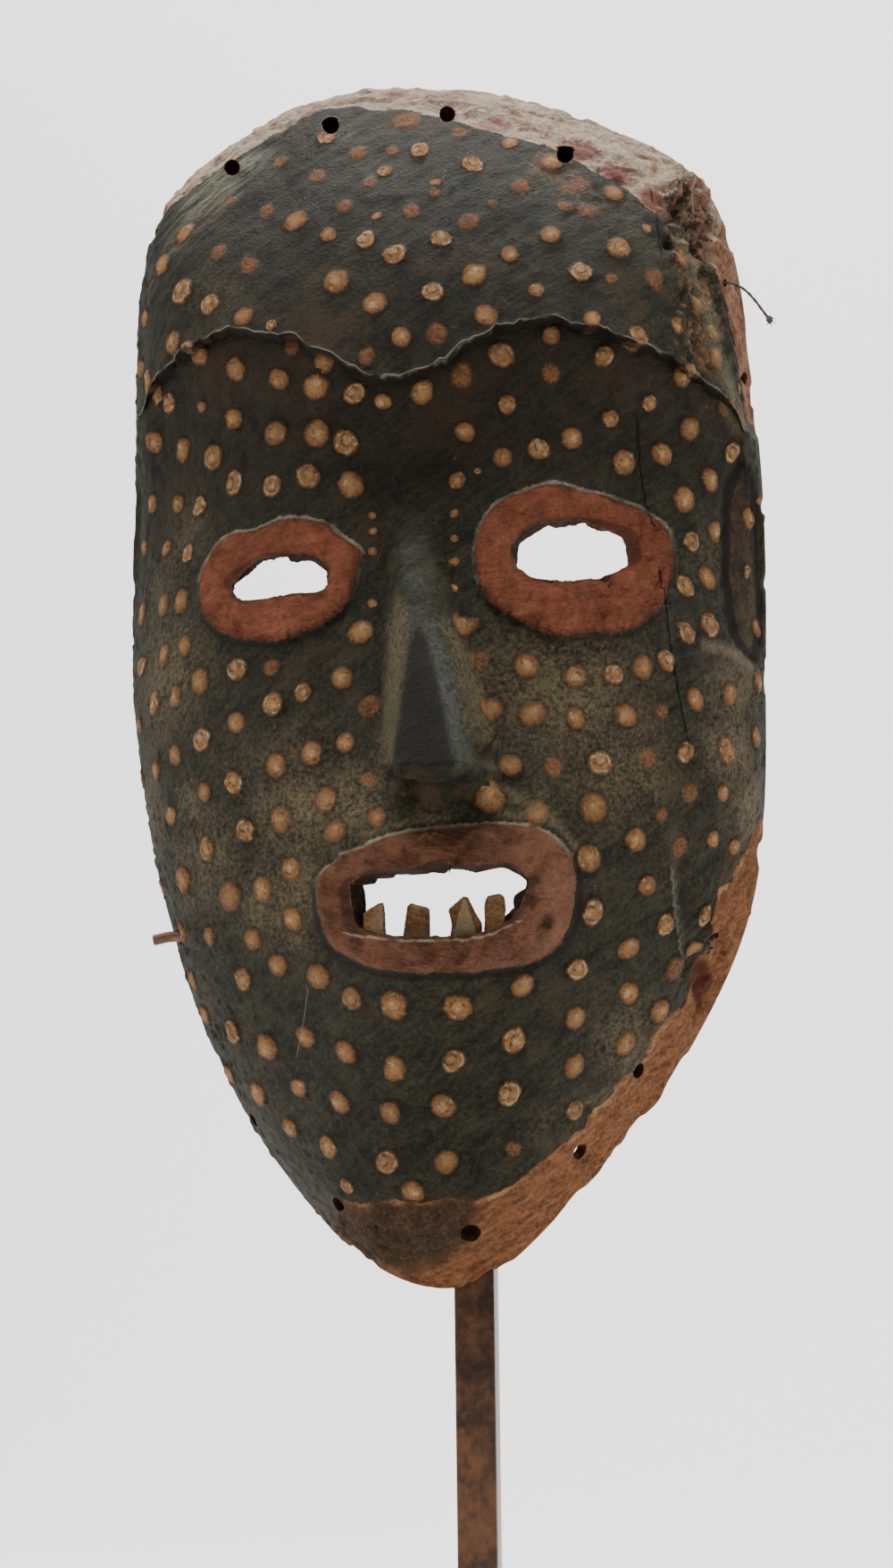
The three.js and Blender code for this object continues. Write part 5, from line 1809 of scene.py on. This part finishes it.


# Red earth rings, with dark crust at the holes, pale dust and painted highlight on their upper
# edges, and painted shadow under them
def layRings(body, grain, fine, blotch, ragged):
    wire = body.wire
    lipBand, eyeBand = wire.field("mouthBand") + ragged, wire.field("eyeBand") + ragged
    body.lay(lipEarth(wire, grain, fine, blotch), lipBand.rise(-0.15, 0.15))
    body.lay(redEarth(wire, grain, blotch), eyeBand.rise(-0.15, 0.15))
    outer = wire.math("MAXIMUM", lipBand, eyeBand)
    upward = wire.field("upward")
    under = (1.0 - abs(outer + 0.9).rise(0.3, 1.2)) * (1.0 - upward.rise(-0.2, 0.25))
    body.lay("ringShadow", under * 0.75)
    # upper edges that face up: pale dust and painted highlight
    dust = (1.0 - abs(outer + 0.4).rise(0.2, 0.75)) * upward.rise(0.1, 0.45)
    body.lay("ringTopDustAndLight", dust * (blotch + 0.8).rise(0.2, 1.0) * (0.5 + grain * 0.7))
    body.lay("holeCrust", (wire.field("holeBand") + grain * 0.6).rise(-0.7, 0.3) * 0.6)
    crest = (wire.cloud(4, 3, 0.6) + grain * 0.5 + 0.5).rise(0.0, 0.8)
    body.lay("lipCrest", lineShare(wire, "pale", grain * 0.4, 0.1, 0.55) * crest * 0.7)
    return outer


# Rubbed strips, the brow's edge in painted highlight and the painted shadow under it, cracks,
# the slot in painted shade and lines of painted shadow
def layLines(body, grain, blotch, ragged, share):
    wire = body.wire
    worn = wire.field("worn")
    # rubbed strips: worn paint, and painted highlight on the lit edges
    body.lay("rubbed", worn.rise(0.1, 0.9) * (0.45 + grain * 0.6 + blotch * 0.2))
    body.lay("rubbedLight", (worn + wire.cloud(0.5, 4, 0.75) * 1.3 - 0.9).rise(0.0, 0.4) * 0.65)
    body.lay("rubbedDark", (worn + wire.cloud(0.6, 4, 0.7) * -1.3 - 1.0).rise(0.0, 0.4) * 0.7)
    # the brow's edge: a pale line of dust and painted highlight, and painted shadow under it
    over = wire.field("browOver") + grain * 0.35
    browHighlight = (1.0 - abs(over - 0.15).rise(0.06, 0.3)) * (wire.cloud(5, 3, 0.6) + 0.3).rise(0, 0.5)
    body.lay("browEdge", browHighlight * 0.7)
    body.lay("browShadow", (1.0 - abs(over + 0.7).rise(0.25, 1.0)) * 0.7)
    # painted highlight along the jaw ridge
    ridge = lineShare(wire, "ridge", grain * 0.2, 0.2, 0.9)
    body.lay("ridge", ridge * (0.7 + grain * 0.6) * 0.6)
    body.lay("hairline", lineShare(wire, "hairline", grain * 0.1, 0.1, 0.35) * 0.4)
    crack = lineShare(wire, "crack", wire.cloud(2.0, 2) * 0.16, 0.1, 0.36)
    body.lay("crack", crack * 0.92)
    # the sunk slot: brown painted shade in it and a painted shadow along its edge
    slot = wire.field("slot")
    slotShade = body.blend("slotDark", "slotLight", (grain + blotch).rise(-0.4, 0.7))
    body.lay(slotShade, slot.rise(0.0, 0.9) * 0.5 * (1.0 - share))
    slotEdgeShadow = (1.0 - abs(slot + grain * 0.3 - 1.0).rise(0.5, 1.4)) * (1.0 - share)
    body.lay("slotEdgeShadow", slotEdgeShadow * 0.9)
    # lines of painted shadow under the nose, beside its wing, under the lower lip and beside the
    # jaw ridge
    body.lay("gloom", (wire.field("gloom") * 1.2 + ragged * 0.25).rise(0.15, 0.9) * 0.9)
    # painted shade in the pit beside the nose's wing
    body.lay("pit", wire.field("wingPitHere").rise(0.3, 0.8) * 0.7)
    return crack


# The hollow, the cut faces and the teeth: raw wood, dark from wear
def layInside(body, grain, fine, blotch, fibre, cut):
    wire = body.wire
    hollow = (fibre + blotch * 0.5 + 0.3).rise(-0.2, 0.9)
    hollow = body.blend("hollowDark", "hollowLight", hollow)
    stain = (wire.cloud(28, 2) + blotch * 0.5).rise(0.0, 0.8) * 0.7
    hollow = body.blend(hollow, "hollowStain", stain)
    body.top = wire.over(hollow, body.top, wire.field("frontFace").rise(0.3, 0.7))
    cutWood = (fibre + grain * 0.7 + fine * 0.3).rise(-0.3, 0.9)
    body.lay(body.blend("cutDark", "cutLight", cutWood), cut)
    tooth = Coats(wire, maskLook, "toothDark")
    tooth.lay("toothLight", (grain * 0.7 + blotch * 0.3 + fine * 0.3 + 0.45).rise(0, 1))
    stain = wire.cloud(1.4, 3, 0.6, stretch=(0.6, 1, 3))
    tooth.lay("toothStain", stain.rise(0.25, 0.7) * 0.6)
    tooth.lay("toothTip", wire.field("upward").rise(0.3, 0.8) * 0.6)
    body.lay(tooth.top, wire.field("toothWood").rise(0.4, 0.6))


def paintMask(shell):
    material, wire, shader = newMaterial("carvedPaintedWood", Specular_IOR_Level=0.12)
    grain, fine, blotch = wire.cloud(1.1, 4, 0.65), wire.cloud(0.35, 3), wire.cloud(7, 4, 0.62)
    fibre = wire.cloud(2.6, 4, 0.7, stretch=(0.6, 0.6, 5))
    ragged = grain * 0.45 + wire.cloud(3.2, 3, 0.6) * 0.7
    cut = wire.field("cutWood").rise(0.4, 0.6)
    edge = wire.field("paintEdge") + wire.cloud(3.5, 3, 0.65) * 1.3 + grain * 0.5
    painted = edge.rise(-0.1, 0.15)
    body = Coats(wire, maskLook, bareWood(wire, grain, fine, blotch))
    body.lay(darkPaint(wire, grain, fine, blotch, edge), painted)
    layWear(body, grain, fine, blotch, edge, painted)
    outer = layRings(body, grain, fine, blotch, ragged)
    share, ochre, halo = dabbedDots(wire)
    # the dark line round each dot: dirt and painted shadow
    body.lay("dotHalo", halo * 0.35 * painted)
    body.lay(ochre, share * painted)
    crack = layLines(body, grain, blotch, ragged, share)
    layInside(body, grain, fine, blotch, fibre, cut)
    plug(body.top, shader, "Base Color")

    gloss = 0.6 + grain * 0.1 + (1.0 - painted) * 0.22 + outer.rise(-0.2, 0.2) * 0.2
    gloss = gloss + share * 0.12 + cut * 0.5 - wire.field("blueTint") * 0.14
    plug(gloss, shader, "Roughness")
    stroke = wire.cloud(1.8, 5, 0.7, stretch=(5, 3, 0.7), shift=0.02, tilt=30)
    height = grain * 0.7 + fine * 0.25 + wire.cloud(0.6, 4, 0.7) * 0.4
    height = height + stroke * 0.5 * painted + fibre * (1.0 - painted) * 0.8
    height = height + share * (1.0 + wire.cloud(0.8, 4, 0.75) * 1.4) - crack * 2.4 + painted * 0.8
    scaly = wire.cloud(1.2, 4, 0.8, stretch=(3, 2, 0.8), shift=0.06) * 2.0
    scaly = scaly + wire.cloud(0.6, 3, 0.7) * 1.2
    height = height + outer.rise(-0.2, 0.4) * (1.0 - share) * scaly
    plug(bumped(wire, height, 0.42), shader, "Normal")
    dress(shell, material)


maskPiece = makeMask()
selectOnly(maskPiece)
bpy.ops.object.shade_smooth_by_angle(angle=math.radians(maskForm["smoothUnder"]))
paintMask(maskPiece)
assign(maskPiece, "mask", "painted_wood")
print("stage: mask", sum(len(f.vertices) - 2 for f in maskPiece.data.polygons), "triangles")

# Stand: square post in a socket of a plate, and a thin rod bent by hand across its top
stand = {
    "baseSide": 130, "baseThickness": 8, "socketSide": 10.6, "socketFloor": 1.6, "baseBevel": 0.8,
    "postSide": 10, "postFoot": 1.9, "postTop": 198.5, "postBevel": 0.5,
    "rodDiameter": 2.8, "rodSides": 24, "rodSteps": 8, "bevelCuts": 3,
    "smoothUnder": 40, "rodSmoothUnder": 50,                # degrees between faces
    "rodRoute": [
        (-82, 0, 205.4), (-75, 0, 206.2), (-55, 0, 205), (-28, 0, 202), (0, 0, 200.4),
        (28, 0, 200.2), (61.5, 0, 201.4),
    ],
    "patina": {"dark": (40, 28, 20), "light": (104, 66, 36), "spot": (30, 24, 20), "rough": 0.34},
    "rodPatina": {"dark": (62, 42, 32), "light": (118, 84, 62), "spot": (44, 32, 26), "rough": 0.5},
}


def bevelled(obj, width):
    selectOnly(obj)
    bevel = obj.modifiers.new("bevel", "BEVEL")
    bevel.width, bevel.segments, bevel.limit_method = width * mm, stand["bevelCuts"], "ANGLE"
    bpy.ops.object.modifier_apply(modifier="bevel")
    bpy.ops.object.shade_smooth_by_angle(angle=math.radians(stand["smoothUnder"]))
    return obj


def makeBlock(name, side, low, high):
    block = addShape(
        name, bpy.ops.mesh.primitive_cube_add, size=1, location=(0, 0, (low + high) / 2 * mm))
    block.scale = (side * mm, side * mm, (high - low) * mm)
    bpy.ops.object.transform_apply(location=True, rotation=True, scale=True)
    return block


def makeBase():
    base = makeBlock("standBase", stand["baseSide"], 0, stand["baseThickness"])
    pick(base, "FACE", lambda face: face.normal.z > 0.9)
    bpy.ops.mesh.inset(thickness=(stand["baseSide"] - stand["socketSide"]) / 2 * mm)
    depth = stand["baseThickness"] - stand["socketFloor"]
    bpy.ops.mesh.extrude_region_move(TRANSFORM_OT_translate={"value": (0, 0, -depth * mm)})
    bpy.ops.object.mode_set(mode="OBJECT")
    return bevelled(base, stand["baseBevel"])


def makeRod():
    rod = asMesh(makeBar(
        "cradleRod", stand["rodRoute"], stand["rodDiameter"], stand["rodSides"], stand["rodSteps"]))
    bpy.ops.object.shade_smooth_by_angle(angle=math.radians(stand["rodSmoothUnder"]))
    return rod


def steel(name, look):
    material, wire, shader = newMaterial(name, Metallic=0.55)
    mottle = wire.cloud(7, 4, 0.62, stretch=(1, 1, 1.6)) + wire.cloud(2.0, 3, 0.6) * 0.5
    body = Coats(wire, look, "dark")
    body.lay("light", mottle.rise(-0.45, 0.55))
    body.lay("spot", wire.cloud(1.2, 3, 0.65).rise(0.25, 0.7) * 0.55)
    plug(body.top, shader, "Base Color")
    plug(look["rough"] + mottle * 0.08, shader, "Roughness")
    plug(bumped(wire, wire.cloud(0.6, 3) * 0.6 + mottle * 0.4, 0.03), shader, "Normal")
    return material


def makeStand():
    patina = steel("brownPatinaSteel", stand["patina"])
    rodSteel = steel("rodPatina", stand["rodPatina"])
    base = makeBase()
    post = makeBlock("standPost", stand["postSide"], stand["postFoot"], stand["postTop"])
    bevelled(post, stand["postBevel"])
    rod = makeRod()
    pieces = (
        (base, "stand_base", patina, "stand_steel"), (post, "stand_post", patina, "stand_steel"),
        (rod, "cradle_rod", rodSteel, "rod_steel"),
    )
    for piece, node, material, slot in pieces:
        dress(piece, material)
        assign(piece, node, slot)


makeStand()
print("stage: stand")
